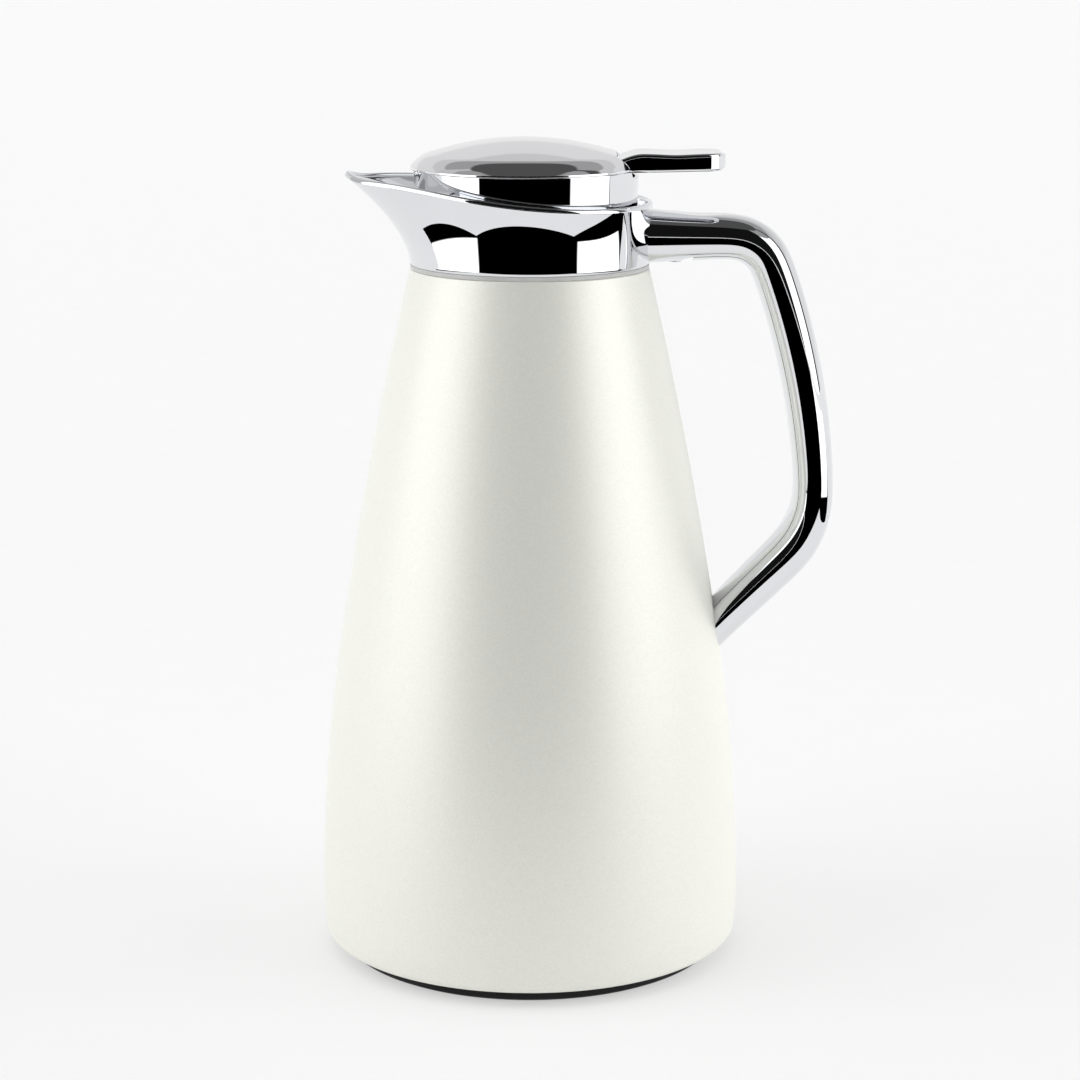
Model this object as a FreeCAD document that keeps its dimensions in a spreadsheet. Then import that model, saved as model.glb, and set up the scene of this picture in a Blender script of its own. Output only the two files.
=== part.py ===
"""Glass-lined vacuum jug with a thumb-lever pouring closure.

Frame: origin on the jug's axis, at the surface it stands on. +Z is up, +X points to the
handle and -X to the spout. Lengths are in millimetres and angles in degrees.
"""
import FreeCAD
import Part
import Sketcher
import math
import os
import re

Vector = FreeCAD.Vector
LEFT = 1
RIGHT = -1

# Every driving dimension: alias, value, meaning.
SIZES = [
    ("casing_radius", 76.0, "widest radius of the casing"),
    ("casing_wide_height", 14.0, "height of the widest ring"),
    ("casing_waist_radius", 69.2, "radius where the lower sweep meets the upper sweep"),
    ("casing_waist_height", 110.7, "height of that ring"),
    ("casing_top_radius", 42.3, "radius at the casing's upper edge"),
    ("casing_top_height", 250.0, "height of the casing's upper edge"),
    ("casing_lower_sweep", 605.0, "meridian radius of the lower sweep"),
    ("casing_upper_sweep", 1624.0, "meridian radius of the upper sweep"),
    ("casing_wall", 0.8, "sheet thickness of the casing"),
    ("casing_edge_height", 5.6, "height of the casing's lower edge"),
    ("casing_edge_radius", 1.2, "rounding of the lower edge"),
    ("casing_edge_draw", 0.2, "how far the casing draws in to its lower edge"),
    ("casing_flange_radius", 66.0, "inner radius of the turned-in lower edge"),
    ("casing_lip_radius", 39.6, "inner radius of the turned-in upper edge"),
    ("base_ring_radius", 68.0, "outer radius of the base ring"),
    ("base_ring_bottom", 1.0, "underside of the base ring"),
    ("base_ring_bore", 52.0, "opening in the base ring"),
    ("base_spigot_radius", 65.4, "spigot that snaps into the casing"),
    ("base_spigot_top", 12.0, "top of the spigot"),
    ("foot_inner_radius", 60.0, "inner radius of the foot ring"),
    ("foot_outer_radius", 66.0, "outer radius of the foot ring"),
    ("foot_depth", 2.6, "thickness of the foot ring"),
    ("cap_radius", 51.8, "radius of the service cap"),
    ("cap_bottom", 1.6, "underside of the service cap"),
    ("cap_boss_radius", 24.0, "raised middle of the cap"),
    ("cap_boss_top", 6.6, "top of the raised middle"),
    ("cap_key_width", 8.0, "width of the coin slot under the cap"),
    ("cap_key_depth", 1.2, "depth of the coin slot"),
    ("cushion_radius", 23.5, "outer radius of the liner cushion"),
    ("cushion_bore", 6.0, "hole in the cushion for the liner's seal tip"),
    ("liner_bottom", 12.0, "underside of the glass liner"),
    ("liner_tip_radius", 3.0, "radius of the seal tip under the liner"),
    ("liner_tip_depth", 3.5, "how far the seal tip hangs down"),
    ("liner_radius", 62.0, "outer radius of the outer bottle"),
    ("liner_heel_radius", 32.0, "rounding of the outer bottle's heel"),
    ("liner_sweep_height", 75.0, "height where the bottle begins to narrow"),
    ("liner_sweep", 300.0, "meridian radius of the narrowing"),
    ("liner_taper_radius", 52.5, "outer bottle's radius where the taper starts"),
    ("liner_taper_height", 150.0, "height where the taper starts"),
    ("liner_shoulder_radius", 44.0, "outer bottle's radius at the shoulder"),
    ("liner_shoulder_height", 185.0, "height of the shoulder"),
    ("liner_shoulder_round", 45.0, "rounding of the shoulder"),
    ("liner_throat_radius", 32.0, "radius where shoulder meets neck"),
    ("liner_throat_height", 212.0, "height where shoulder meets neck"),
    ("liner_throat_round", 12.0, "hollow rounding into the neck"),
    ("liner_neck_radius", 28.5, "outer radius of the liner's neck"),
    ("liner_neck_height", 222.0, "height where the neck becomes straight"),
    ("liner_lip_height", 243.0, "top of the liner's lip"),
    ("liner_wall", 1.6, "glass thickness"),
    ("vacuum_gap", 3.4, "clear gap between the two glass walls"),
    ("liner_mouth_radius", 22.0, "inner radius of the liner's mouth"),
    ("gasket_inner_radius", 21.9, "inner radius of the neck gasket"),
    ("gasket_outer_radius", 33.4, "outer radius of the neck gasket"),
    ("gasket_top", 246.0, "sealing face of the neck gasket"),
    ("gasket_skirt_bottom", 236.0, "lower end of the gasket's skirt"),
    ("clamp_inner_radius", 34.2, "inner radius of the clamp ring"),
    ("clamp_outer_radius", 41.3, "outer radius of the clamp ring"),
    ("clamp_depth", 6.0, "depth of the clamp ring"),
    ("seam_ring_height", 1.6, "height of the seam ring"),
    ("collar_radius", 42.4, "outer radius of the collar's foot"),
    ("collar_wall", 2.0, "wall of the collar"),
    ("collar_floor", 2.4, "thickness of the collar's floor"),
    ("collar_bore", 34.0, "opening in the collar's floor"),
    ("collar_flare", 2.6, "how far the rim stands out away from the spout"),
    ("collar_flare_height", 22.0, "height over which the rim flares"),
    ("spout_reach", 22.6, "how far the spout stands out from the collar"),
    ("spout_rise", 30.9, "height of the spout tip above the collar's foot"),
    ("spout_curl", 1.7, "power of the spout's outward curve"),
    ("spout_spread", 0.42, "angle scale of the spout's width, in radians"),
    ("spout_fade", 1.3, "power of the spout's fade into the round rim"),
    ("rim_rear_height", 272.3, "height of the rim at the handle"),
    ("rim_tip_height", 282.5, "height of the rim at the spout"),
    ("insert_radius", 33.6, "outer radius of the threaded throat"),
    ("insert_bore", 31.0, "bore of the threaded throat"),
    ("insert_top", 264.0, "top of the threaded throat"),
    ("insert_flange_radius", 39.4, "radius of the insert's flange"),
    ("insert_flange_depth", 2.2, "thickness of the insert's flange"),
    ("thread_lead", 30.0, "rise for one turn of the closure"),
    ("thread_depth", 2.1, "radial height of a thread rib"),
    ("thread_width", 2.4, "axial thickness of a thread rib"),
    ("thread_gap", 0.4, "axial gap between rib and lug when closed"),
    ("thread_start_height", 257.5, "height of a throat rib's lower end"),
    ("screw_radius", 1.6, "shank radius of the collar and handle screws"),
    ("screw_head_radius", 2.8, "head radius of those screws"),
    ("screw_head_depth", 1.8, "head depth of those screws"),
    ("collar_screw_circle", 37.3, "circle of the collar screws"),
    ("collar_screw_reach", 13.0, "length of a collar screw under its head"),
    ("handle_width", 24.0, "width of the handle across the grip"),
    ("handle_wall", 2.4, "wall of the handle shell"),
    ("handle_round", 5.0, "rounding of the shell's outer edges"),
    ("cover_depth", 3.5, "thickness of the inner cover"),
    ("cover_round", 2.4, "rounding of the cover's edges"),
    ("handle_reach", 109.1, "furthest reach of the handle from the axis"),
    ("grip_thickness", 14.2, "thickness of the grip"),
    ("handle_top", 270.9, "top of the handle at the collar"),
    ("handle_crown_reach", 73.0, "where the upper arm starts to turn down"),
    ("handle_crown_height", 269.3, "height there"),
    ("handle_crown_round", 23.0, "radius of the upper bend"),
    ("handle_brow_reach", 92.0, "where the upper bend ends"),
    ("handle_brow_height", 256.6, "height there"),
    ("handle_back_round", 262.0, "radius of the grip's long back curve"),
    ("handle_hip_height", 170.0, "height where the grip's back turns in"),
    ("handle_hip_round", 42.0, "radius of the lower bend"),
    ("handle_heel_reach", 100.5, "where the lower bend ends"),
    ("handle_heel_height", 142.6, "height there"),
    ("handle_foot_reach", 62.0, "lower end of the handle, inside the casing's line"),
    ("handle_foot_height", 105.7, "height there"),
    ("finger_foot_reach", 60.0, "finger side of the lower arm at the casing"),
    ("finger_foot_height", 123.7, "height there"),
    ("finger_heel_reach", 87.6, "finger side where the lower bend starts"),
    ("finger_heel_height", 152.4, "height there"),
    ("finger_heel_round", 27.0, "finger side radius of the lower bend"),
    ("finger_hip_height", 171.3, "height where the finger side runs up"),
    ("finger_back_round", 265.0, "radius of the finger side's long curve"),
    ("finger_brow_reach", 78.7, "finger side where the upper bend starts"),
    ("finger_brow_height", 247.7, "height there"),
    ("finger_brow_round", 9.0, "finger side radius of the upper bend"),
    ("finger_crown_reach", 71.0, "finger side of the upper arm's straight run"),
    ("finger_crown_height", 253.2, "height there"),
    ("lug_start", 41.2, "start of the lug, inside the collar's wall"),
    ("lug_reach", 58.0, "end of the collar's lug inside the handle"),
    ("lug_width", 14.0, "width of that lug"),
    ("lug_bottom", 256.4, "underside of that lug"),
    ("lug_height", 8.4, "height of that lug"),
    ("top_screw_reach", 51.0, "distance of the handle's top screw from the axis"),
    ("bracket_width", 12.0, "width of the handle bracket"),
    ("lower_screw_reach", 79.0, "middle of the bracket, from the axis"),
    ("lower_screw_height", 132.5, "middle of the bracket, height"),
    ("lower_screw_lean", -44.4, "lean of the lower screw from the vertical"),
    ("lower_head_seat", 5.6, "seat of the lower screw's head above the bracket's middle"),
    ("stopper_radius", 28.3, "outer radius of the stopper"),
    ("stopper_wall", 2.0, "wall of the stopper"),
    ("stopper_bottom", 238.0, "lower end of the stopper's spigot"),
    ("spigot_radius", 20.0, "radius of the stopper's spigot"),
    ("spigot_bore", 18.0, "bore of the spigot"),
    ("seal_inner_radius", 20.15, "inner radius of the stopper seal"),
    ("seal_outer_radius", 28.5, "outer radius of the stopper seal, clear of the throat's ribs"),
    ("seal_depth", 2.6, "thickness of the stopper seal"),
    ("stopper_shoulder", 248.8, "shoulder above the stopper seal"),
    ("stopper_floor", 2.5, "floor thickness of the stopper"),
    ("seat_radius", 8.0, "hole in the valve seat"),
    ("stopper_top", 276.2, "top of the stopper's flange"),
    ("stopper_flange_radius", 34.0, "radius of the stopper's flange"),
    ("stopper_flange_depth", 2.5, "thickness of the stopper's flange"),
    ("window_bottom", 264.6, "lower edge of the outlet window"),
    ("window_height", 6.4, "height of the outlet window"),
    ("window_width", 22.0, "width of the outlet window"),
    ("guide_bottom", 271.2, "underside of the stem guide"),
    ("guide_depth", 4.0, "thickness of the stem guide"),
    ("guide_radius", 26.2, "radius of the stem guide"),
    ("stem_radius", 2.0, "radius of the valve stem"),
    ("stem_clearance", 0.08, "running clearance round the stem"),
    ("stem_bottom", 240.2, "lower end of the stem"),
    ("stem_flange_bottom", 283.8, "underside of the stem's flange"),
    ("stem_flange_depth", 2.2, "thickness of the stem's flange"),
    ("stem_flange_radius", 6.5, "radius of the stem's flange"),
    ("valve_seal_depth", 1.8, "thickness of the valve seal"),
    ("valve_seal_inner", 8.6, "inner radius of the valve seal"),
    ("valve_seal_outer", 12.0, "outer radius of the valve seal"),
    ("valve_disc_radius", 13.0, "radius of the valve disc"),
    ("valve_disc_depth", 2.7, "thickness of the valve disc"),
    ("clip_radius", 4.5, "radius of the stem clip"),
    ("clip_depth", 1.0, "thickness of the stem clip"),
    ("spring_radius", 5.0, "mean radius of the valve spring"),
    ("spring_wire", 0.5, "radius of the spring's wire"),
    ("spring_turns", 7.0, "turns of the valve spring"),
    ("chassis_radius", 36.3, "radius of the lever chassis"),
    ("chassis_bore", 9.0, "opening in the lever chassis"),
    ("chassis_depth", 2.6, "thickness of the lever chassis"),
    ("ear_gap", 14.0, "clear width between the lever's ears"),
    ("ear_thickness", 2.8, "thickness of an ear"),
    ("ear_front", 30.2, "front of the ears"),
    ("ear_length", 4.6, "length of the ears"),
    ("ear_height", 3.8, "height of the ears above the chassis"),
    ("pivot_reach", 33.0, "distance of the lever's pin from the axis"),
    ("pivot_height", 280.0, "height of the lever's pin"),
    ("pin_radius", 1.5, "radius of the lever's pin"),
    ("pin_clearance", 0.05, "running clearance round the pin"),
    ("lid_screw_circle", 31.2, "circle of the lid screws"),
    ("lid_screw_radius", 1.4, "shank radius of the lid screws"),
    ("lid_screw_head", 2.5, "head radius of the lid screws"),
    ("lid_screw_reach", 4.6, "length of a lid screw under its head"),
    ("skirt_radius", 38.2, "outer radius of the lid's skirt"),
    ("skirt_wall", 1.6, "wall of the skirt"),
    ("skirt_bottom", 270.0, "lower edge of the skirt"),
    ("skirt_top", 284.0, "upper edge of the skirt"),
    ("skirt_notch_bottom", 282.4, "bottom of the notch under the lever"),
    ("dome_radius", 40.0, "radius of the dome's brim"),
    ("dome_offset", -2.0, "dome's centre, towards the spout"),
    ("dome_brim_top", 285.6, "top of the brim's upright band"),
    ("dome_shoulder_radius", 34.5, "radius where the crown ends"),
    ("dome_shoulder_height", 290.0, "height where the crown ends"),
    ("dome_top", 295.8, "top of the dome"),
    ("dome_wall", 1.8, "wall of the dome"),
    ("slot_start", 30.4, "front edge of the lever slot"),
    ("slot_width", 26.4, "width of the lever slot"),
    ("lever_width", 25.0, "width of the thumb plate"),
    ("lever_tip", 68.7, "reach of the thumb plate"),
    ("lever_front", 32.5, "front edge of the thumb plate"),
    ("lever_top", 290.9, "top of the thumb plate"),
    ("lever_bottom", 284.3, "underside of the thumb plate"),
    ("lever_corner", 6.0, "rounding of the thumb plate's corners"),
    ("hub_radius", 2.6, "radius of the lever's hub"),
    ("hub_width", 13.4, "width of the lever's hub"),
    ("fork_tip", -2.0, "end of the lever's fork"),
    ("fork_bottom", 281.2, "underside of the fork"),
    ("fork_top", 283.6, "top of the fork"),
    ("fork_width", 13.0, "width over the fork"),
    ("fork_slot_width", 5.2, "slot between the fork's fingers"),
    ("fork_slot_end", 8.0, "closed end of the fork's slot"),
]

THREAD_STARTS = 3
RIB_SPAN = 50.0
LUG_SPAN = 40.0
SCREW_ANGLES = (60.0, 180.0, 300.0)
COLLAR_SCREW_ANGLES = (45.0, 135.0, 270.0)

doc = FreeCAD.newDocument("vacuum_jug")
sheet = doc.addObject("Spreadsheet::Sheet", "Sizes")
for row_number, (alias, number, meaning) in enumerate(SIZES, start=1):
    sheet.set(f"A{row_number}", meaning)
    sheet.set(f"B{row_number}", str(number))
    sheet.setAlias(f"B{row_number}", alias)
doc.recompute()


# ---------------------------------------------------------------- helpers

def bound(expression):
    """An expression of bare aliases, written as the document's objects read it."""
    return re.sub(r"[a-z]+_[a-z_]*[a-z]", r"Sizes.\g<0>", expression)


def value(expression):
    """The number that an expression of bare aliases stands for now."""
    return float(sheet.evalExpression(expression))


def bind(thing, **expressions):
    """Binds properties of an object to expressions of the sheet's aliases."""
    for name, expression in expressions.items():
        thing.setExpression(name.replace("__", "."), bound(expression))


def base_plane(body, role):
    """One of the body's own origin planes."""
    return next(plane for plane in body.Origin.OriginFeatures if plane.Role == role)


def arc_between(start, end, radius, turn):
    """The short arc from start to end that bends to the left or to the right."""
    chord = end - start
    left = Vector(-chord.y, chord.x, 0).normalize()
    rise = math.sqrt(radius ** 2 - chord.Length ** 2 / 4)
    centre = (start + end) * 0.5 + left * (turn * rise)
    first, last = (start, end) if turn == LEFT else (end, start)
    angles = [math.atan2(point.y - centre.y, point.x - centre.x) for point in (first, last)]
    return Part.ArcOfCircle(Part.Circle(centre, Vector(0, 0, 1), radius), *angles)


def outline(body, name, role, rows):
    """A closed sketch. A row is (across, up), or (across, up, radius, turn) before an arc."""
    sketch = body.newObject("Sketcher::SketchObject", name)
    sketch.AttachmentSupport = (base_plane(body, role), [""])
    sketch.MapMode = "FlatFace"
    corners = [Vector(value(row[0]), value(row[1]), 0) for row in rows]
    following = corners[1:] + corners[:1]
    for row, start, end in zip(rows, corners, following):
        if len(row) == 4:
            sketch.addGeometry(arc_between(start, end, value(row[2]), row[3]), False)
        else:
            sketch.addGeometry(Part.LineSegment(start, end), False)
    starts = [2 if row[-1] == RIGHT else 1 for row in rows]
    for index in range(len(rows)):
        after = (index + 1) % len(rows)
        joint = Sketcher.Constraint("Coincident", index, 3 - starts[index], after, starts[after])
        sketch.addConstraint(joint)
    for index, row in enumerate(rows):
        place_corner(sketch, index, starts[index], row, corners[index])
        if len(row) == 4:
            curve = sketch.addConstraint(Sketcher.Constraint("Radius", index, value(row[2])))
            sketch.renameConstraint(curve, f"radius_{index}")
            sketch.setExpression(f"Constraints.radius_{index}", bound(row[2]))
    return sketch


def place_corner(sketch, index, end, row, corner):
    """Ties one corner of an outline to the sheet, across and up."""
    for axis, expression, distance in (("X", row[0], corner.x), ("Y", row[1], corner.y)):
        if expression == "0":
            line = -2 if axis == "X" else -1
            sketch.addConstraint(Sketcher.Constraint("PointOnObject", index, end, line))
            continue
        tie = Sketcher.Constraint(f"Distance{axis}", -1, 1, index, end, distance)
        number = sketch.addConstraint(tie)
        sketch.renameConstraint(number, f"at_{axis}_{index}")
        sketch.setExpression(f"Constraints.at_{axis}_{index}", bound(expression))


def new_body(name):
    """A body whose Label is the piece's name."""
    body = doc.addObject("PartDesign::Body", name)
    body.Label = name
    return body


def turned(name, rows):
    """A body made by turning one closed outline round the jug's axis."""
    body = new_body(name)
    turning = body.newObject("PartDesign::Revolution", f"{name}_turning")
    turning.Profile = (outline(body, f"{name}_section", "XZ_Plane", rows), [""])
    turning.ReferenceAxis = (turning.Profile[0], ["V_Axis"])
    turning.Angle = 360
    return body


def extruded(name, rows, width, role="XZ_Plane"):
    """A body made by padding one closed outline evenly to both sides of its plane."""
    body = new_body(name)
    add_pad(body, f"{name}_pad", rows, width, role)
    return body


def add_pad(body, name, rows, width, role="XZ_Plane"):
    """Adds a pad of the given width, evenly to both sides of the plane."""
    pad = body.newObject("PartDesign::Pad", name)
    pad.Profile = (outline(body, f"{name}_outline", role, rows), [""])
    pad.Midplane = True
    bind(pad, Length=width)
    return pad


def cut_pocket(body, name, rows, width, role="XZ_Plane"):
    """Cuts a pocket of the given width, evenly to both sides of the plane."""
    pocket = body.newObject("PartDesign::Pocket", name)
    pocket.Profile = (outline(body, f"{name}_outline", role, rows), [""])
    pocket.Midplane = True
    bind(pocket, Length=width)
    return pocket


def cut_box(body, name, low, spans):
    """Cuts a box from its low corner along +X, +Y and +Z."""
    box = body.newObject("PartDesign::SubtractiveBox", name)
    bind(box, Length=spans[0], Width=spans[1], Height=spans[2])
    bind(box, Placement__Base__x=low[0], Placement__Base__y=low[1], Placement__Base__z=low[2])
    return box


def drill(body, name, radius, depth, base, angle=0.0, axis=Vector(0, 1, 0)):
    """Cuts a round hole from its base point, upwards or turned about an axis."""
    hole = body.newObject("PartDesign::SubtractiveCylinder", name)
    hole.Placement = FreeCAD.Placement(Vector(), FreeCAD.Rotation(axis, angle))
    bind(hole, Radius=radius, Height=depth)
    bind(hole, Placement__Base__x=base[0], Placement__Base__y=base[1], Placement__Base__z=base[2])
    return hole


def on_circle(radius, angle):
    """The two expressions of a point on a circle round the jug's axis."""
    return f"{radius} * cos({angle})", f"{radius} * sin({angle})"


def shaped(name, shape):
    """A piece whose shape is worked out here from the sheet's sizes."""
    piece = doc.addObject("Part::Feature", name)
    piece.Label = name
    piece.Shape = shape
    piece.Placement = FreeCAD.Placement()
    return piece


def soften(body, feature, name, radius, chosen):
    """Rounds the feature's edges that the chosen test accepts."""
    doc.recompute()
    edges = [f"Edge{number}" for number, edge in enumerate(feature.Shape.Edges, start=1)
             if chosen(edge)]
    fillet = body.newObject("PartDesign::Fillet", name)
    fillet.Base = (feature, edges)
    bind(fillet, Radius=radius)
    return fillet


def crown_radius(across, rise):
    """Radius of a crown that rises this much over this radius, centred on the axis."""
    return f"(({across}) ^ 2 + ({rise}) ^ 2) / (2 * ({rise}))"


def casing_meridian(inset="0"):
    """The casing's two sweeps from the widest ring to the top, moved in by an inset."""
    return [
        (f"casing_radius - {inset}", "casing_wide_height",
         f"casing_lower_sweep - {inset}", LEFT),
        (f"casing_waist_radius - {inset}", "casing_waist_height",
         f"casing_upper_sweep - {inset}", LEFT),
        (f"casing_top_radius - {inset}", "casing_top_height"),
    ]


def clear_of_casing(body, name):
    """Grooves away whatever lies inside the casing and the collar's foot."""
    groove = body.newObject("PartDesign::Groove", name)
    foot = "casing_top_height + seam_ring_height"
    flare = [(f"collar_radius + 0.05 + collar_flare * {part} ^ 3",
              f"{foot} + collar_flare_height * {part}") for part in (0.0, 0.4, 0.6, 0.8, 1.0)]
    rows = [("0", "casing_wide_height")] + casing_meridian() + flare + [
        ("collar_radius + collar_flare", "dome_top"),
        ("0", "dome_top"),
    ]
    groove.Profile = (outline(body, f"{name}_section", "XZ_Plane", rows), [""])
    groove.ReferenceAxis = (groove.Profile[0], ["V_Axis"])
    groove.Angle = 360
    return groove


def screw(head_base, head_radius, head_depth, radius, reach, direction):
    """A pan-head screw: its head stands on head_base, its shank runs the other way."""
    head = Part.makeCylinder(value(head_radius), value(head_depth), head_base, direction)
    shank = Part.makeCylinder(value(radius), value(reach), head_base, direction * -1)
    recess_base = head_base + direction * (value(head_depth) * 0.45)
    recess = Part.makeCylinder(value(radius) * 0.6, value(head_depth), recess_base, direction)
    return head.fuse(shank).removeSplitter().cut(recess)


def thread_rib(inner, outer, start_angle, start_height, span):
    """A helical rib of rectangular section between two radii."""
    lead = value("thread_lead")
    rise = lead * span / 360
    middle = (inner + outer) / 2
    helix = Part.makeHelix(lead, rise, middle)
    width = value("thread_width")
    corners = [Vector(inner, 0, -width / 2), Vector(outer, 0, -width / 2),
               Vector(outer, 0, width / 2), Vector(inner, 0, width / 2)]
    section = Part.makePolygon(corners + corners[:1])
    rib = Part.Wire(helix.Edges).makePipeShell([section], True, True)
    rib.rotate(Vector(), Vector(0, 0, 1), start_angle)
    rib.translate(Vector(0, 0, start_height))
    return rib


# ---------------------------------------------------------------- casing and base

def make_outer_casing():
    """Sheet casing with a turned-in lower edge and a turned-in upper edge."""
    inner = [(across, up, *rest) for across, up, *rest in casing_meridian("casing_wall")]
    turned("outer_casing", [
        ("casing_flange_radius", "casing_edge_height"),
        ("casing_radius - casing_edge_radius - casing_edge_draw", "casing_edge_height",
         "casing_edge_radius", LEFT),
        ("casing_radius - casing_edge_draw", "casing_edge_height + casing_edge_radius"),
        *casing_meridian(),
        ("casing_lip_radius", "casing_top_height"),
        ("casing_lip_radius", "casing_top_height - casing_wall"),
        ("casing_top_radius - casing_wall", "casing_top_height - casing_wall",
         inner[1][2], RIGHT),
        (inner[1][0], inner[1][1], inner[0][2], RIGHT),
        (inner[0][0], inner[0][1]),
        ("casing_radius - casing_wall - casing_edge_draw", "casing_edge_height + casing_wall"),
        ("casing_flange_radius", "casing_edge_height + casing_wall"),
    ])


def make_base():
    """Base ring with its snap bead, the soft foot ring and the screwed service cap."""
    turned("casing_base_ring", [
        ("base_ring_bore", "base_ring_bottom"),
        ("foot_inner_radius", "base_ring_bottom"),
        ("foot_inner_radius", "foot_depth"),
        ("foot_outer_radius", "foot_depth"),
        ("foot_outer_radius", "base_ring_bottom"),
        ("base_ring_radius", "base_ring_bottom"),
        ("base_ring_radius", "casing_edge_height"),
        ("base_spigot_radius", "casing_edge_height"),
        ("base_spigot_radius", "casing_edge_height + casing_wall"),
        ("casing_flange_radius + 1", "casing_edge_height + 2 * casing_wall"),
        ("base_spigot_radius", "casing_edge_height + 4"),
        ("base_spigot_radius", "base_spigot_top"),
        ("foot_inner_radius + 1", "base_spigot_top"),
        ("foot_inner_radius + 1", "casing_edge_height"),
        ("base_ring_bore", "casing_edge_height"),
    ])
    turned("foot_ring", [
        ("foot_inner_radius + 0.6", "0"),
        ("foot_outer_radius - 0.6", "0"),
        ("foot_outer_radius", "base_ring_bottom"),
        ("foot_outer_radius", "foot_depth"),
        ("foot_inner_radius", "foot_depth"),
        ("foot_inner_radius", "base_ring_bottom"),
    ])
    cap = turned("base_cap", [
        ("0", "cap_bottom"),
        ("cap_radius", "cap_bottom"),
        ("cap_radius", "casing_edge_height"),
        ("cap_radius - 4", "casing_edge_height"),
        ("cap_radius - 4", "cap_bottom + 2"),
        ("cap_boss_radius", "cap_bottom + 2"),
        ("cap_boss_radius", "cap_boss_top"),
        ("0", "cap_boss_top"),
    ])
    cut_box(cap, "key_slot", ("-cap_boss_radius", "-cap_key_width / 2", "cap_bottom - 1"),
            ("2 * cap_boss_radius", "cap_key_width", "cap_key_depth + 1"))
    turned("liner_cushion", [
        ("cushion_bore", "cap_boss_top"),
        ("cushion_radius", "cap_boss_top"),
        ("cushion_radius", "liner_bottom"),
        ("cushion_bore", "liner_bottom"),
    ])


# ---------------------------------------------------------------- glass liner

def bottle_meridian(inset, mouth):
    """A bottle's wall from heel to neck, moved in by an inset; mouth is its neck radius."""
    return [
        ("liner_radius - liner_heel_radius", f"liner_bottom + {inset}",
         f"liner_heel_radius - {inset}", LEFT),
        (f"liner_radius - {inset}", "liner_bottom + liner_heel_radius"),
        (f"liner_radius - {inset}", "liner_sweep_height", f"liner_sweep - {inset}", LEFT),
        (f"liner_taper_radius - {inset}", "liner_taper_height"),
        (f"liner_shoulder_radius - {inset}", "liner_shoulder_height",
         f"liner_shoulder_round - {inset}", LEFT),
        (f"{mouth} + liner_throat_radius - liner_neck_radius", "liner_throat_height",
         "liner_throat_round", RIGHT),
        (mouth, "liner_neck_height"),
    ]


def reversed_outline(rows):
    """The same run of corners and arcs, walked the other way."""
    back = []
    for index in range(len(rows) - 1, -1, -1):
        across, up = rows[index][:2]
        before = rows[index - 1] if index > 0 else ()
        if len(before) == 4:
            back.append((across, up, before[2], -before[3]))
        else:
            back.append((across, up))
    return back


def make_liner():
    """Two glass bottles joined at the lip, with the vacuum between them."""
    outer_face = bottle_meridian("0", "liner_neck_radius")
    inner_face = bottle_meridian("liner_wall", "(liner_neck_radius - liner_wall)")
    turned("liner_outer_bottle", [
        ("0", "liner_bottom - liner_tip_depth"),
        ("liner_tip_radius", "liner_bottom"),
        *outer_face,
        ("liner_neck_radius", "liner_lip_height"),
        ("liner_neck_radius - liner_wall", "liner_lip_height"),
        *reversed_outline(inner_face),
        ("0", "liner_bottom + liner_wall"),
    ])
    depth = "(liner_wall + vacuum_gap)"
    vacuum_face = bottle_meridian(depth, "(liner_mouth_radius + liner_wall)")
    coffee_face = bottle_meridian("(2 * liner_wall + vacuum_gap)", "liner_mouth_radius")
    turned("liner_inner_bottle", [
        ("0", f"liner_bottom + {depth}"),
        *vacuum_face,
        ("liner_mouth_radius + liner_wall", "liner_lip_height - liner_wall"),
        ("liner_neck_radius - liner_wall", "liner_lip_height - liner_wall"),
        ("liner_neck_radius - liner_wall", "liner_lip_height"),
        ("liner_mouth_radius", "liner_lip_height"),
        *reversed_outline(coffee_face),
        ("0", f"liner_bottom + {depth} + liner_wall"),
    ])
    turned("neck_gasket", [
        ("gasket_inner_radius", "liner_lip_height"),
        ("liner_neck_radius + 0.1", "liner_lip_height"),
        ("liner_neck_radius + 0.1", "gasket_skirt_bottom"),
        ("liner_neck_radius + 2.3", "gasket_skirt_bottom"),
        ("gasket_outer_radius", "liner_lip_height - 1"),
        ("gasket_outer_radius", "gasket_top"),
        ("gasket_inner_radius", "gasket_top"),
    ])


# ---------------------------------------------------------------- collar

def collar_radius_at(angle, height, inset):
    """Outer radius of the collar at an angle from the spout and a height above its foot."""
    weight = math.exp(-(abs(angle) / value("spout_spread")) ** value("spout_fade"))
    up = max(height, 0.0)
    spout = value("spout_reach") * (up / value("spout_rise")) ** value("spout_curl")
    flare = value("collar_flare") * (up / value("collar_flare_height")) ** 3
    return value("collar_radius") + weight * spout + (1 - weight) * flare - inset


def collar_section(height, foot, inset):
    """A closed smooth ring round the collar at one height."""
    points = []
    count = 48
    for step in range(count):
        angle = 2 * math.pi * step / count - math.pi
        radius = collar_radius_at(angle, height, inset)
        points.append(Vector(-radius * math.cos(angle), radius * math.sin(angle), foot + height))
    curve = Part.BSplineCurve()
    curve.interpolate(Points=points, PeriodicFlag=True)
    return Part.Wire(curve.toShape())


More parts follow.
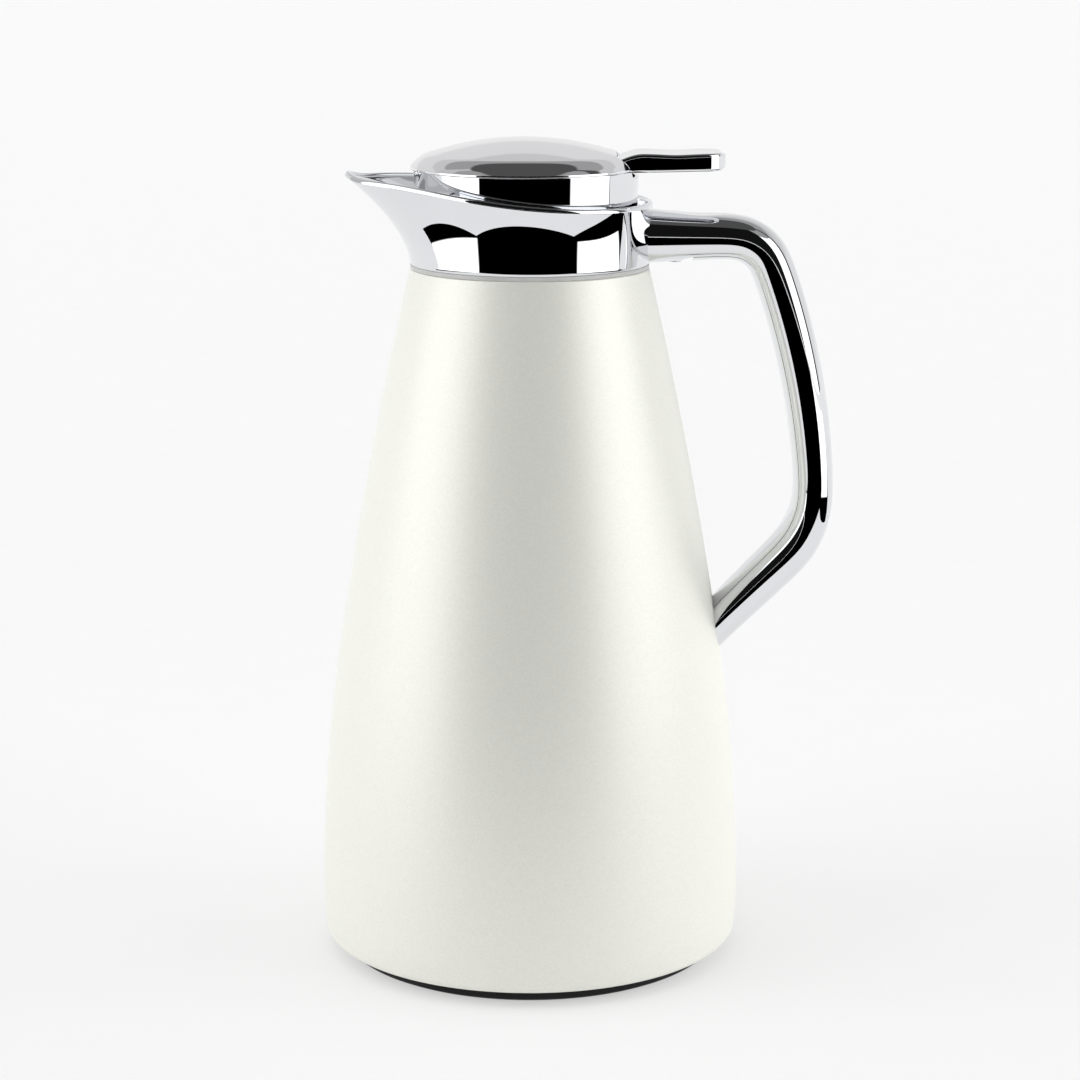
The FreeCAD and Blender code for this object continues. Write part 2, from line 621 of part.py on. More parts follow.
def make_collar():
    """Chromed collar: flared wall with a spout, floor with a throat hole, and handle lug."""
    foot = value("casing_top_height + seam_ring_height")
    floor_top = value("collar_floor")
    levels = [0.0, 6.0, 12.0, 18.0, 24.0, 33.0]
    outer = Part.makeLoft([collar_section(level, foot, 0.0) for level in levels], True)
    wall = value("collar_wall")
    hollow_levels = [floor_top] + levels[1:-1] + [levels[-1] + 2.0]
    hollow = Part.makeLoft([collar_section(level, foot, wall) for level in hollow_levels], True)
    bore = Part.makeCylinder(value("collar_bore"), floor_top + 2, Vector(0, 0, foot - 1))
    lug = Part.makeBox(value("lug_reach - lug_start"), value("lug_width"), value("lug_height"),
                       Vector(value("lug_start"), -value("lug_width") / 2, value("lug_bottom")))
    tip_reach = value("collar_radius + spout_reach")
    rear_reach = value("collar_radius + collar_flare")
    drop = value("rim_tip_height - rim_rear_height")
    lean = math.degrees(math.atan2(drop, tip_reach + rear_reach))
    above = Part.makeBox(260, 260, 60, Vector(0, -130, 0))
    above.translate(Vector(-60, 0, 0))
    above.rotate(Vector(), Vector(0, 1, 0), lean)
    above.translate(Vector(-tip_reach, 0, value("rim_tip_height")))
    shape = outer.cut(hollow).cut(bore).cut(above).fuse(lug)
    holes = [Part.makeCylinder(value("screw_radius + 0.15"), floor_top + 2,
                               screw_place("collar_screw_circle", angle, foot - 1))
             for angle in COLLAR_SCREW_ANGLES]
    lug_hole = Part.makeCylinder(value("screw_radius + 0.1"), 7,
                                 Vector(value("top_screw_reach"), 0, value("lug_bottom") - 0.5))
    shaped("pouring_collar", shape.cut(holes + [lug_hole]).removeSplitter())


def screw_place(circle, angle, height):
    """A point on a screw circle round the jug's axis."""
    turn = math.radians(angle)
    radius = value(circle)
    return Vector(radius * math.cos(turn), radius * math.sin(turn), height)


def make_collar_fittings():
    """Seam ring, clamp ring, threaded throat insert and the three collar screws."""
    turned("collar_seam_ring", [
        ("casing_lip_radius + 0.1", "casing_top_height"),
        ("casing_top_radius", "casing_top_height"),
        ("casing_top_radius", "casing_top_height + seam_ring_height"),
        ("casing_lip_radius + 0.1", "casing_top_height + seam_ring_height"),
    ])
    clamp_top = "casing_top_height - casing_wall"
    clamp = turned("clamp_ring", [
        ("clamp_inner_radius", f"{clamp_top} - clamp_depth"),
        ("clamp_outer_radius", f"{clamp_top} - clamp_depth"),
        ("clamp_outer_radius", clamp_top),
        ("clamp_inner_radius", clamp_top),
    ])
    floor = "casing_top_height + seam_ring_height + collar_floor"
    for number, angle in enumerate(COLLAR_SCREW_ANGLES, start=1):
        across, along = on_circle("collar_screw_circle", angle)
        drill(clamp, f"clamp_hole_{number}", "screw_radius + 0.1", "clamp_depth + 2",
              (across, along, f"{clamp_top} - clamp_depth - 1"))
    flange_top = value(f"{floor} + insert_flange_depth")
    bore = value("insert_bore")
    tube = Part.makeCylinder(value("insert_radius"), value("insert_top - gasket_top"),
                             Vector(0, 0, value("gasket_top")))
    flange = Part.makeCylinder(value("insert_flange_radius"), value("insert_flange_depth"),
                               Vector(0, 0, value(floor)))
    hollow = Part.makeCylinder(bore, 40, Vector(0, 0, value("gasket_top") - 1))
    holes = [Part.makeCylinder(value("screw_radius + 0.1"), 6,
                               screw_place("collar_screw_circle", angle, value(floor) - 1))
             for angle in COLLAR_SCREW_ANGLES]
    insert = tube.fuse(flange).cut([hollow] + holes)
    for start in range(THREAD_STARTS):
        rib = thread_rib(bore - value("thread_depth"), bore + 0.6, start * 360 / THREAD_STARTS,
                         value("thread_start_height"), RIB_SPAN)
        insert = insert.fuse(rib)
    shaped("collar_insert", insert.removeSplitter())
    screws = [screw(screw_place("collar_screw_circle", angle, flange_top), "screw_head_radius",
                    "screw_head_depth", "screw_radius", "collar_screw_reach - 2",
                    Vector(0, 0, 1))
              for angle in COLLAR_SCREW_ANGLES]
    shaped("collar_screws", Part.makeCompound(screws))


# ---------------------------------------------------------------- handle

def handle_back(inset="0"):
    """The handle's outer side from the collar to the casing, moved in by an inset."""
    return [
        ("collar_radius - 8", f"handle_top - {inset}"),
        ("handle_crown_reach", f"handle_crown_height - {inset}",
         f"handle_crown_round - {inset}", RIGHT),
        (f"handle_brow_reach - 0.9 * {inset}", f"handle_brow_height - 0.4 * {inset}",
         f"handle_back_round - {inset}", RIGHT),
        (f"handle_reach - {inset}", "handle_hip_height", f"handle_hip_round - {inset}", RIGHT),
        (f"handle_heel_reach - 0.7 * {inset}", f"handle_heel_height + 0.7 * {inset}"),
        (f"handle_foot_reach - 0.7 * {inset}", f"handle_foot_height + 0.7 * {inset}"),
    ]


def handle_finger(inset="0"):
    """The handle's finger side from the casing to the collar, moved in by an inset."""
    return [
        (f"finger_foot_reach + 0.7 * {inset}", f"finger_foot_height - 0.7 * {inset}"),
        (f"finger_heel_reach + 0.7 * {inset}", f"finger_heel_height - 0.7 * {inset}",
         f"finger_heel_round + {inset}", LEFT),
        (f"handle_reach - grip_thickness + {inset}", "finger_hip_height",
         f"finger_back_round + {inset}", LEFT),
        (f"finger_brow_reach + 0.9 * {inset}", f"finger_brow_height + 0.4 * {inset}",
         f"finger_brow_round + {inset}", LEFT),
        (f"finger_crown_reach + 0.1 * {inset}", f"finger_crown_height + {inset}"),
        ("collar_radius - 8", f"finger_crown_height - 1.4 + {inset}"),
    ]


def on_side(edge):
    """True for a long edge that lies in one of the handle's two side planes."""
    side = value("handle_width") / 2
    return all(abs(abs(vertex.Y) - side) < 0.01 for vertex in edge.Vertexes) and edge.Length > 3


def near_outline(edge, rows):
    """True where both ends of an edge are corners of the given outline."""
    corners = [(value(row[0]), value(row[1])) for row in rows]
    return all(min(math.dist((vertex.X, vertex.Z), corner) for corner in corners) < 0.05
               for vertex in edge.Vertexes)


def make_handle():
    """Hollow outer shell, inner cover, bracket and the two handle screws."""
    shell_rows = handle_back() + handle_finger("cover_depth")
    shell = new_body("handle_shell")
    pad = add_pad(shell, "handle_shell_pad", shell_rows, "handle_width")
    soften(shell, pad, "handle_shell_round", "handle_round",
           lambda edge: on_side(edge) and near_outline(edge, handle_back()))
    cavity = handle_back("handle_wall") + handle_finger("(cover_depth - 1)")
    cut_pocket(shell, "handle_shell_cavity", cavity, "handle_width - 2 * handle_wall")
    clear_of_casing(shell, "handle_shell_fit")

    finger_side = handle_finger("cover_depth")
    cover_rows = reversed_outline(finger_side) + handle_finger()
    cover = new_body("handle_inner_cover")
    pad = add_pad(cover, "handle_inner_cover_pad", cover_rows, "handle_width")
    soften(cover, pad, "handle_inner_cover_round", "cover_round",
           lambda edge: on_side(edge) and near_outline(edge, handle_finger()))
    clear_of_casing(cover, "handle_inner_cover_fit")
    cover_bottom = "finger_crown_height - 2"
    drill(cover, "top_screw_hole", "screw_radius + 0.1", "12",
          ("top_screw_reach", "0", cover_bottom))
    drill(cover, "top_head_recess", "screw_head_radius + 0.2", "screw_head_depth + 1",
          ("top_screw_reach", "0", cover_bottom))
    lean = value("lower_screw_lean")
    axis = FreeCAD.Rotation(Vector(0, 1, 0), lean).multVec(Vector(0, 0, 1))
    middle = Vector(value("lower_screw_reach"), 0, value("lower_screw_height"))
    head_base = middle + axis * value("lower_head_seat")
    drill(cover, "lower_screw_hole", "screw_radius + 0.1", "12",
          ("lower_screw_reach", "0", "lower_screw_height"), lean)
    recess = [f"{number:.3f}" for number in head_base]
    drill(cover, "lower_head_recess", "screw_head_radius + 0.2", "6", recess, lean)

    bracket = extruded("handle_bracket", [
        ("lower_screw_reach - 19", "lower_screw_height - 24"),
        ("lower_screw_reach + 7", "lower_screw_height + 0.5"),
        ("lower_screw_reach + 1", "lower_screw_height + 6.1"),
        ("lower_screw_reach - 19", "lower_screw_height - 14.3"),
    ], "bracket_width")
    clear_of_casing(bracket, "handle_bracket_fit")
    drill(bracket, "bracket_hole", "screw_radius + 0.1", "14",
          [f"{number:.3f}" for number in middle - axis * 7], lean)

    top_head = Vector(value("top_screw_reach"), 0, value(f"{cover_bottom} + screw_head_depth + 1"))
    shaped("handle_top_screw", screw(top_head, "screw_head_radius", "screw_head_depth",
                                     "screw_radius", "8", Vector(0, 0, -1)))
    shaped("handle_lower_screw", screw(head_base, "screw_head_radius", "screw_head_depth",
                                       "screw_radius", "9", axis))


# ---------------------------------------------------------------- stopper and valve

def make_stopper():
    """Hollow stopper with its seat, outlet window and male lugs, its seal and stem guide."""
    body = turned("stopper_shell", [
        ("seat_radius", "stopper_bottom"),
        ("spigot_radius", "stopper_bottom"),
        ("spigot_radius", "gasket_top - 2.6"),
        ("spigot_radius + 0.5", "gasket_top - 2"),
        ("spigot_radius + 0.5", "gasket_top - 0.6"),
        ("spigot_radius", "gasket_top"),
        ("spigot_radius", "stopper_shoulder"),
        ("stopper_radius", "stopper_shoulder"),
        ("stopper_radius", "stopper_top - stopper_flange_depth"),
        ("stopper_flange_radius", "stopper_top - stopper_flange_depth"),
        ("stopper_flange_radius", "stopper_top"),
        ("stopper_radius - stopper_wall", "stopper_top"),
        ("stopper_radius - stopper_wall", "stopper_shoulder + stopper_floor"),
        ("spigot_bore", "stopper_shoulder + stopper_floor"),
        ("spigot_bore", "stopper_bottom + stopper_floor"),
        ("seat_radius", "stopper_bottom + stopper_floor"),
    ])
    cut_box(body, "outlet_window", ("-stopper_flange_radius", "-window_width / 2", "window_bottom"),
            ("stopper_flange_radius", "window_width", "window_height"))
    flange_bottom = "stopper_top - stopper_flange_depth"
    for number, angle in enumerate(SCREW_ANGLES, start=1):
        across, along = on_circle("lid_screw_circle", angle)
        drill(body, f"flange_hole_{number}", "lid_screw_radius + 0.1", "stopper_flange_depth + 2",
              (across, along, f"{flange_bottom} - 1"))
    doc.recompute()
    shape = body.Shape.copy()
    outer = value("stopper_radius")
    height = value("thread_start_height - thread_width - thread_gap")
    for start in range(THREAD_STARTS):
        lug = thread_rib(outer - 0.8, outer + value("thread_depth + 0.2"),
                         start * 360 / THREAD_STARTS, height, LUG_SPAN)
        shape = shape.fuse(lug)
    body.Label = "stopper_shell_blank"
    shaped("stopper_body", shape.removeSplitter())

    turned("stopper_seal", [
        ("seal_inner_radius", "gasket_top"),
        ("seal_outer_radius", "gasket_top"),
        ("seal_outer_radius", "gasket_top + seal_depth"),
        ("seal_inner_radius", "gasket_top + seal_depth"),
    ])
    turned("stem_guide", [
        ("stem_radius + stem_clearance", "guide_bottom"),
        ("guide_radius", "guide_bottom"),
        ("guide_radius", "guide_bottom + guide_depth"),
        ("guide_radius - 3", "guide_bottom + guide_depth"),
        ("guide_radius - 3", "guide_bottom + guide_depth / 2"),
        ("stem_radius + 3", "guide_bottom + guide_depth / 2"),
        ("stem_radius + 3", "guide_bottom + guide_depth"),
        ("stem_radius + stem_clearance", "guide_bottom + guide_depth"),
    ])


def make_valve():
    """Stem with its flange, disc, seal, clip and the spring that shuts the valve.

    The spring's wire has sixteen flats in place of a true round.
    """
    turned("valve_stem", [
        ("0", "stem_bottom"),
        ("stem_radius", "stem_bottom"),
        ("stem_radius", "stem_flange_bottom"),
        ("stem_flange_radius", "stem_flange_bottom"),
        ("stem_flange_radius", "stem_flange_bottom + stem_flange_depth"),
        ("0", "stem_flange_bottom + stem_flange_depth"),
    ])
    seat = "(stopper_bottom + stopper_floor)"
    turned("valve_seal", [
        ("valve_seal_inner", seat),
        ("valve_seal_outer", seat),
        ("valve_seal_outer", f"{seat} + valve_seal_depth"),
        ("valve_seal_inner", f"{seat} + valve_seal_depth"),
    ])
    disc_bottom = f"({seat} + valve_seal_depth)"
    turned("valve_disc", [
        ("stem_radius + 0.05", disc_bottom),
        ("valve_disc_radius", disc_bottom),
        ("valve_disc_radius", f"{disc_bottom} + valve_disc_depth / 2"),
        ("spring_radius + 2", f"{disc_bottom} + valve_disc_depth"),
        ("stem_radius + 0.05", f"{disc_bottom} + valve_disc_depth"),
    ])
    turned("stem_clip", [
        ("stem_radius + 0.05", f"{disc_bottom} - clip_depth"),
        ("clip_radius", f"{disc_bottom} - clip_depth"),
        ("clip_radius", disc_bottom),
        ("stem_radius + 0.05", disc_bottom),
    ])
    wire = value("spring_wire")
    low = value(f"{disc_bottom} + valve_disc_depth") + wire + 0.1
    high = value("guide_bottom") - wire - 0.1
    helix = Part.makeHelix((high - low) / value("spring_turns"), high - low, value("spring_radius"))
    helix.translate(Vector(0, 0, low))
    flats = 16
    corners = [Vector(value("spring_radius") + wire * math.cos(2 * math.pi * side / flats), 0,
                      low + wire * math.sin(2 * math.pi * side / flats)) for side in range(flats)]
    section = Part.makePolygon(corners + corners[:1])
    shaped("valve_spring", Part.Wire(helix.Edges).makePipeShell([section], True, True))


# ---------------------------------------------------------------- lid and lever

def make_lid():
    """Skirt, dome, lever chassis, hinge pin and the three lid screws."""
    chassis = turned("lever_chassis", [
        ("chassis_bore", "stopper_top"),
        ("chassis_radius", "stopper_top"),
        ("chassis_radius", "stopper_top + chassis_depth"),
        ("chassis_bore", "stopper_top + chassis_depth"),
    ])
    ear_rows = [
        ("ear_front", "stopper_top + 0.5"),
        ("ear_front + ear_length", "stopper_top + 0.5"),
        ("ear_front + ear_length", "stopper_top + chassis_depth + ear_height"),
        ("ear_front", "stopper_top + chassis_depth + ear_height"),
    ]
    add_pad(chassis, "ears", ear_rows, "ear_gap + 2 * ear_thickness")
    cut_box(chassis, "hub_notch",
            ("pivot_reach - hub_radius - 2", "-ear_gap / 2", "stopper_top - 1"),
            ("12", "ear_gap", "12"))
    drill(chassis, "pin_hole", "pin_radius + pin_clearance", "40",
          ("pivot_reach", "20", "pivot_height"), 90.0, Vector(1, 0, 0))
    for number, angle in enumerate(SCREW_ANGLES, start=1):
        across, along = on_circle("lid_screw_circle", angle)
        drill(chassis, f"chassis_hole_{number}", "lid_screw_radius + 0.1", "chassis_depth + 2",
              (across, along, "stopper_top - 1"))

    skirt = turned("lid_skirt", [
        ("skirt_radius - skirt_wall", "skirt_bottom"),
        ("skirt_radius", "skirt_bottom"),
        ("skirt_radius", "skirt_top"),
        ("skirt_radius - skirt_wall", "skirt_top"),
        ("skirt_radius - skirt_wall", "stopper_top - 0.1"),
        ("skirt_radius - skirt_wall - 2", "stopper_top - 0.1"),
        ("skirt_radius - skirt_wall - 2", "stopper_top - 1.3"),
        ("skirt_radius - skirt_wall", "stopper_top - 1.3"),
    ])
    cut_box(skirt, "lever_notch", ("slot_start - 2", "-slot_width / 2 - 0.2", "skirt_notch_bottom"),
            ("20", "slot_width + 0.4", "10"))

    rise = "dome_top - dome_shoulder_height"
    dome = turned("lid_dome", [
        ("0", "dome_top", crown_radius("dome_shoulder_radius", rise), RIGHT),
        ("dome_shoulder_radius", "dome_shoulder_height"),
        ("dome_radius - 2.7", "dome_brim_top + 1.4"),
        ("dome_radius", "dome_brim_top"),
        ("dome_radius", "skirt_top"),
        ("dome_radius - 5", "skirt_top"),
        ("dome_radius - 5.2", "dome_brim_top + 0.6"),
        ("dome_shoulder_radius - 1.6", "dome_shoulder_height - dome_wall",
         crown_radius("dome_shoulder_radius - 1.6", rise), LEFT),
        ("0", "dome_top - dome_wall"),
    ])
    cut_box(dome, "lever_slot", ("slot_start - dome_offset", "-slot_width / 2", "skirt_top - 1"),
            ("20", "slot_width", "12"))
    bind(dome, Placement__Base__x="dome_offset")

    pin_length = value("ear_gap + 2 * ear_thickness")
    pin = doc.addObject("Part::Cylinder", "lever_pin")
    pin.Label = "lever_pin"
    pin.Placement = FreeCAD.Placement(Vector(0, pin_length / 2, 0),
                                      FreeCAD.Rotation(Vector(1, 0, 0), 90))
    bind(pin, Radius="pin_radius", Height="ear_gap + 2 * ear_thickness")
    bind(pin, Placement__Base__x="pivot_reach", Placement__Base__z="pivot_height")

    flange_bottom = value("stopper_top - stopper_flange_depth")
    screws = [screw(screw_place("lid_screw_circle", angle, flange_bottom), "lid_screw_head",
                    "screw_head_depth", "lid_screw_radius", "lid_screw_reach", Vector(0, 0, -1))
              for angle in SCREW_ANGLES]
    shaped("lid_screws", Part.makeCompound(screws))


def make_lever():
    """Thumb plate, hub and the fork that reaches forward to the valve stem."""
    lever = new_body("thumb_lever")
    plate = add_pad(lever, "thumb_plate", [
        ("lever_front", "lever_bottom - 0.7"),
        ("lever_front + 6.3", "lever_bottom - 0.4"),
        ("lever_tip - 1.7", "lever_bottom + 0.6"),
        ("lever_tip", "lever_bottom + 2.4"),
        ("lever_tip", "lever_top - 2.1"),
        ("lever_tip - 2.5", "lever_top - 0.2"),
        ("lever_front + 9.8", "lever_top"),
        ("lever_front + 2.8", "lever_top - 0.5"),
        ("lever_front", "lever_top - 2.1"),
    ], "lever_width")
    tip = value("lever_tip")
    soften(lever, plate, "thumb_plate_corners", "lever_corner",
           lambda edge: all(abs(vertex.X - tip) < 0.01 for vertex in edge.Vertexes)
           and abs(edge.Vertexes[0].Z - edge.Vertexes[-1].Z) > 0.5)
    add_pad(lever, "hub", [
        ("pivot_reach - hub_radius", "pivot_height", "hub_radius", LEFT),
        ("pivot_reach", "pivot_height - hub_radius", "hub_radius", LEFT),
        ("pivot_reach + hub_radius", "pivot_height"),
        ("pivot_reach + hub_radius", "lever_bottom + 1"),
        ("pivot_reach - hub_radius + 2.2", "lever_bottom + 1"),
        ("pivot_reach - hub_radius", "fork_top"),
    ], "hub_width")
    add_pad(lever, "fork_arm", [
        ("fork_tip", "fork_bottom"),
        ("pivot_reach - 1", "fork_bottom"),
        ("pivot_reach - 1", "fork_top"),
        ("fork_tip", "fork_top"),
    ], "fork_width")
    cut_box(lever, "fork_slot", ("fork_tip - 1", "-fork_slot_width / 2", "fork_bottom - 1"),
            ("fork_slot_end - fork_tip + 1", "fork_slot_width", "fork_top - fork_bottom + 2"))
    drill(lever, "hub_hole", "pin_radius + pin_clearance", "40",
          ("pivot_reach", "20", "pivot_height"), 90.0, Vector(1, 0, 0))


# ---------------------------------------------------------------- build and write

def main():
    """Builds every piece, checks it and writes it."""
    make_outer_casing()
    make_base()
    make_liner()
    make_collar()
    make_collar_fittings()
    make_handle()
    make_stopper()
    make_valve()
    make_lid()
    make_lever()
    doc.recompute()
    for thing in doc.Objects:
        if "Invalid" in thing.State or "Error" in thing.State:
            raise RuntimeError(f"{thing.Label} failed: {thing.State}")
    os.makedirs("parts", exist_ok=True)
    pieces = [thing for thing in doc.Objects
              if thing.TypeId in ("PartDesign::Body", "Part::Feature", "Part::Cylinder")
              and not thing.Label.endswith("_blank")]
    for piece in pieces:
        if piece.Shape.isNull() or not piece.Shape.isValid():
            raise RuntimeError(f"{piece.Label} has no valid shape")
        print(f"{piece.Label}: {len(piece.Shape.Solids)} solids, {piece.Shape.Volume:.0f} mm3")
        piece.Shape.exportStep(os.path.join("parts", f"{piece.Label}.step"))


main()
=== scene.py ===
"""Looks of a glass-lined vacuum jug: smooth skins, finishes and the studio round the CAD frame.

Everything is in metres, in the frame's own axes: +Z up, +X to the handle, -X to the spout.
"""
import math

import bpy
import numpy as np
from bpy.props import FloatProperty, FloatVectorProperty, IntProperty, PointerProperty
from bpy.types import Operator, Panel, PropertyGroup
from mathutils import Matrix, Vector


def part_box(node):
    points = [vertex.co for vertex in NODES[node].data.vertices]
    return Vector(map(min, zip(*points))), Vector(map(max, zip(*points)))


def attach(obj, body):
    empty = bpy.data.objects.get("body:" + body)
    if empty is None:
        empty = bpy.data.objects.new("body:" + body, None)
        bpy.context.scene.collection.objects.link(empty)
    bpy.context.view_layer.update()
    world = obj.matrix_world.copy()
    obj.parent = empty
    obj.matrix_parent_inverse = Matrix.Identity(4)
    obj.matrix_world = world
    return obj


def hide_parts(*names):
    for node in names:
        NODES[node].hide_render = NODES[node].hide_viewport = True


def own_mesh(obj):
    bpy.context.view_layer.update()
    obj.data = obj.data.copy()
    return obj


bl_info = {
    "name": "Vacuum Jug",
    "version": (1, 0, 0),
    "blender": (4, 5, 0),
    "location": "3D View > Sidebar > Jug",
    "description": "Builds the skins, finishes and studio of a thumb-lever vacuum jug",
    "category": "Object",
}

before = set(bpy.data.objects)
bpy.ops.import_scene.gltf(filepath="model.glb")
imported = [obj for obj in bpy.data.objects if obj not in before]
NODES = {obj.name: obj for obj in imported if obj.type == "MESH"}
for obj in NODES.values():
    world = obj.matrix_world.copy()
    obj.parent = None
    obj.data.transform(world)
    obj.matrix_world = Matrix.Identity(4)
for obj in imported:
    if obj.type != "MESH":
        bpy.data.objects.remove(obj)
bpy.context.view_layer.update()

CASING_LOW, CASING_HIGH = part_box("outer_casing")
COLLAR_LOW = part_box("pouring_collar")[0]
SEAM_LOW, SEAM_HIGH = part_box("collar_seam_ring")
DOME_LOW, DOME_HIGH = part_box("lid_dome")
SKIRT_LOW, SKIRT_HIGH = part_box("lid_skirt")
HANDLE_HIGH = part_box("handle_shell")[1]
LEVER_LOW, LEVER_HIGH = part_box("thumb_lever")
PIN_LOW, PIN_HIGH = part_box("lever_pin")
BASE_LOW, BASE_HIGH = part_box("casing_base_ring")
FOOT_LOW, FOOT_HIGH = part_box("foot_ring")
SPRING_LOW, SPRING_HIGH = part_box("valve_spring")

TURNS = 192
SKIRT_TURNS = 256
SHARP_CORNER = math.radians(38)


# ---------------------------------------------------------------- settings

def length(name, default, description):
    """A length in metres."""
    return FloatProperty(name=name, description=description, default=default, unit="LENGTH",
                         subtype="DISTANCE", precision=4)


def colour(name, default, description):
    """A linear colour."""
    return FloatVectorProperty(name=name, description=description, default=default, size=3,
                               min=0.0, max=1.0, subtype="COLOR")


class JugSizes(PropertyGroup):
    """Sizes that shape the skins. Overall places come from the frame."""
    waist_radius: length("Waist radius", 0.0692, "Casing radius where its two sweeps meet")
    waist_height: length("Waist height", 0.1107, "Height where the casing's two sweeps meet")
    wide_height: length("Widest height", 0.014, "Height of the casing's widest ring")
    lower_sweep: length("Lower sweep", 0.605, "Meridian radius of the casing below the waist")
    upper_sweep: length("Upper sweep", 1.624, "Meridian radius of the casing above the waist")
    casing_wall: length("Casing wall", 0.0008, "Sheet thickness of the casing")
    collar_radius: length("Collar radius", 0.0424, "Outer radius at the collar's foot")
    collar_wall: length("Collar wall", 0.002, "Wall of the collar")
    rim_flare: length("Rim flare", 0.0026, "How far the rim stands out away from the spout")
    rim_rear: length("Rim height at the rear", 0.2723, "Height of the rim at the handle")
    rim_lift: length("Rim lift", 0.0084, "Rise of the rim from the handle to the spout")
    tip_lift: length("Tip lift", 0.0018, "Extra rise at the very tip of the spout")
    spout_spread: FloatProperty(name="Spout spread", default=0.42, min=0.1, max=1.5,
                                subtype="ANGLE", description="Angle scale of the spout's width")
    handle_width: length("Handle width", 0.024, "Width of the handle across the grip")
    handle_square: FloatProperty(name="Handle squareness", default=2.4, min=2.0, max=6.0,
                                 description="Power of the handle's rounded section")
    lever_width: length("Lever width", 0.025, "Width of the thumb plate")
    spring_turns: IntProperty(name="Spring turns", default=7, min=3, max=20,
                              description="Turns of the valve spring")


class JugFinishes(PropertyGroup):
    """Base colours of the jug's finishes."""
    lacquer: colour("Lacquer", (0.868, 0.870, 0.808), "Pearl lacquer of the casing")
    chrome: colour("Chrome", (0.80, 0.81, 0.83), "Bright plating")
    satin: colour("Lid satin", (0.86, 0.86, 0.88), "Satin plating of the dome")
    seam: colour("Seam ring", (0.55, 0.55, 0.54), "Ring between casing and collar")
    black: colour("Base black", (0.004, 0.004, 0.0045), "Moulded base")
    inner: colour("Inner plastic", (0.035, 0.036, 0.040), "Stopper, throat and chassis")
    silicone: colour("Silicone", (0.72, 0.72, 0.69), "Gasket and seals")
    steel: colour("Steel", (0.56, 0.56, 0.57), "Screws, pin, stem and spring")
    glass: colour("Silvered glass", (0.74, 0.76, 0.79), "Liner")


def sizes():
    """The jug's size settings."""
    return bpy.context.scene.jug_sizes


def finishes():
    """The jug's finish settings."""
    return bpy.context.scene.jug_finishes


# ---------------------------------------------------------------- mesh helpers

def mesh_object(name, points, faces):
    """A mesh object from points and arrays of faces, turned to face out, smooth but at corners.

    The signed volume is the sum over all faces' fans of triangles of one sixth of the triple
    product of their corners. Where it is negative, every face is turned round.
    """
    volume = 0.0
    for block in faces:
        first = points[block[:, 0]]
        for corner in range(1, block.shape[1] - 1):
            cross = np.cross(points[block[:, corner]], points[block[:, corner + 1]])
            volume += float((first * cross).sum())
    if volume < 0:
        faces = [block[:, ::-1] for block in faces]
    loops = np.concatenate([block.ravel() for block in faces])
    totals = np.concatenate([np.full(len(block), block.shape[1]) for block in faces])
    starts = np.concatenate([[0], np.cumsum(totals)[:-1]])
    mesh = bpy.data.meshes.new(name)
    mesh.vertices.add(len(points))
    mesh.vertices.foreach_set("co", points.astype(np.float32).ravel())
    mesh.loops.add(len(loops))
    mesh.loops.foreach_set("vertex_index", loops.astype(np.int32))
    mesh.polygons.add(len(totals))
    mesh.polygons.foreach_set("loop_start", starts.astype(np.int32))
    mesh.polygons.foreach_set("use_smooth", np.ones(len(totals), dtype=bool))
    mesh.update(calc_edges=True)
    mesh.set_sharp_from_angle(angle=SHARP_CORNER)
    if mesh.validate():
        raise RuntimeError(f"{name} has faces that had to be mended")
    thing = bpy.data.objects.new(name, mesh)
    bpy.context.scene.collection.objects.link(thing)
    return thing


def sheet_faces(rows, columns, wrap_rows, wrap_columns):
    """The quads of a grid of points that may close on itself either way."""
    down = np.arange(rows if wrap_rows else rows - 1)
    along = np.arange(columns if wrap_columns else columns - 1)
    here, beside = np.meshgrid(down, along, indexing="ij")
    below = (here + 1) % rows
    right = (beside + 1) % columns
    corners = (here * columns + beside, here * columns + right,
               below * columns + right, below * columns + beside)
    return np.stack([corner.ravel() for corner in corners], axis=1)


def fan(ring, middle, flip):
    """Triangles from a closed ring of point numbers to one middle point."""
    after = np.roll(ring, -1)
    centre = np.full(len(ring), middle)
    order = (after, ring, centre) if flip else (ring, after, centre)
    return np.stack(order, axis=1)


def ring_piece(name, grid):
    """A piece whose section closes on itself and goes round a closed path: a torus-like grid."""
    rows, columns = grid.shape[:2]
    return mesh_object(name, grid.reshape(-1, 3), [sheet_faces(rows, columns, True, True)])


def tube_piece(name, grid):
    """A piece whose closed sections run along an open path, closed by a fan at each end."""
    rows, columns = grid.shape[:2]
    points = grid.reshape(-1, 3)
    ends = np.stack([grid[0].mean(axis=0), grid[-1].mean(axis=0)])
    first = np.arange(columns)
    last = first + (rows - 1) * columns
    faces = [sheet_faces(rows, columns, False, True),
             np.concatenate([fan(first, len(points), True), fan(last, len(points) + 1, False)])]
    return mesh_object(name, np.concatenate([points, ends]), faces)


def turned(profile, turns=TURNS, centre=(0.0, 0.0)):
    """Turns a profile of (radius, height) rows round an upright axis through the centre."""
    angle = np.linspace(0.0, 2 * math.pi, turns, endpoint=False)[:, None]
    radius = profile[None, :, 0]
    height = np.broadcast_to(profile[None, :, 1], (turns, len(profile)))
    return np.stack([centre[0] + radius * np.cos(angle), centre[1] + radius * np.sin(angle),
                     height], axis=2)


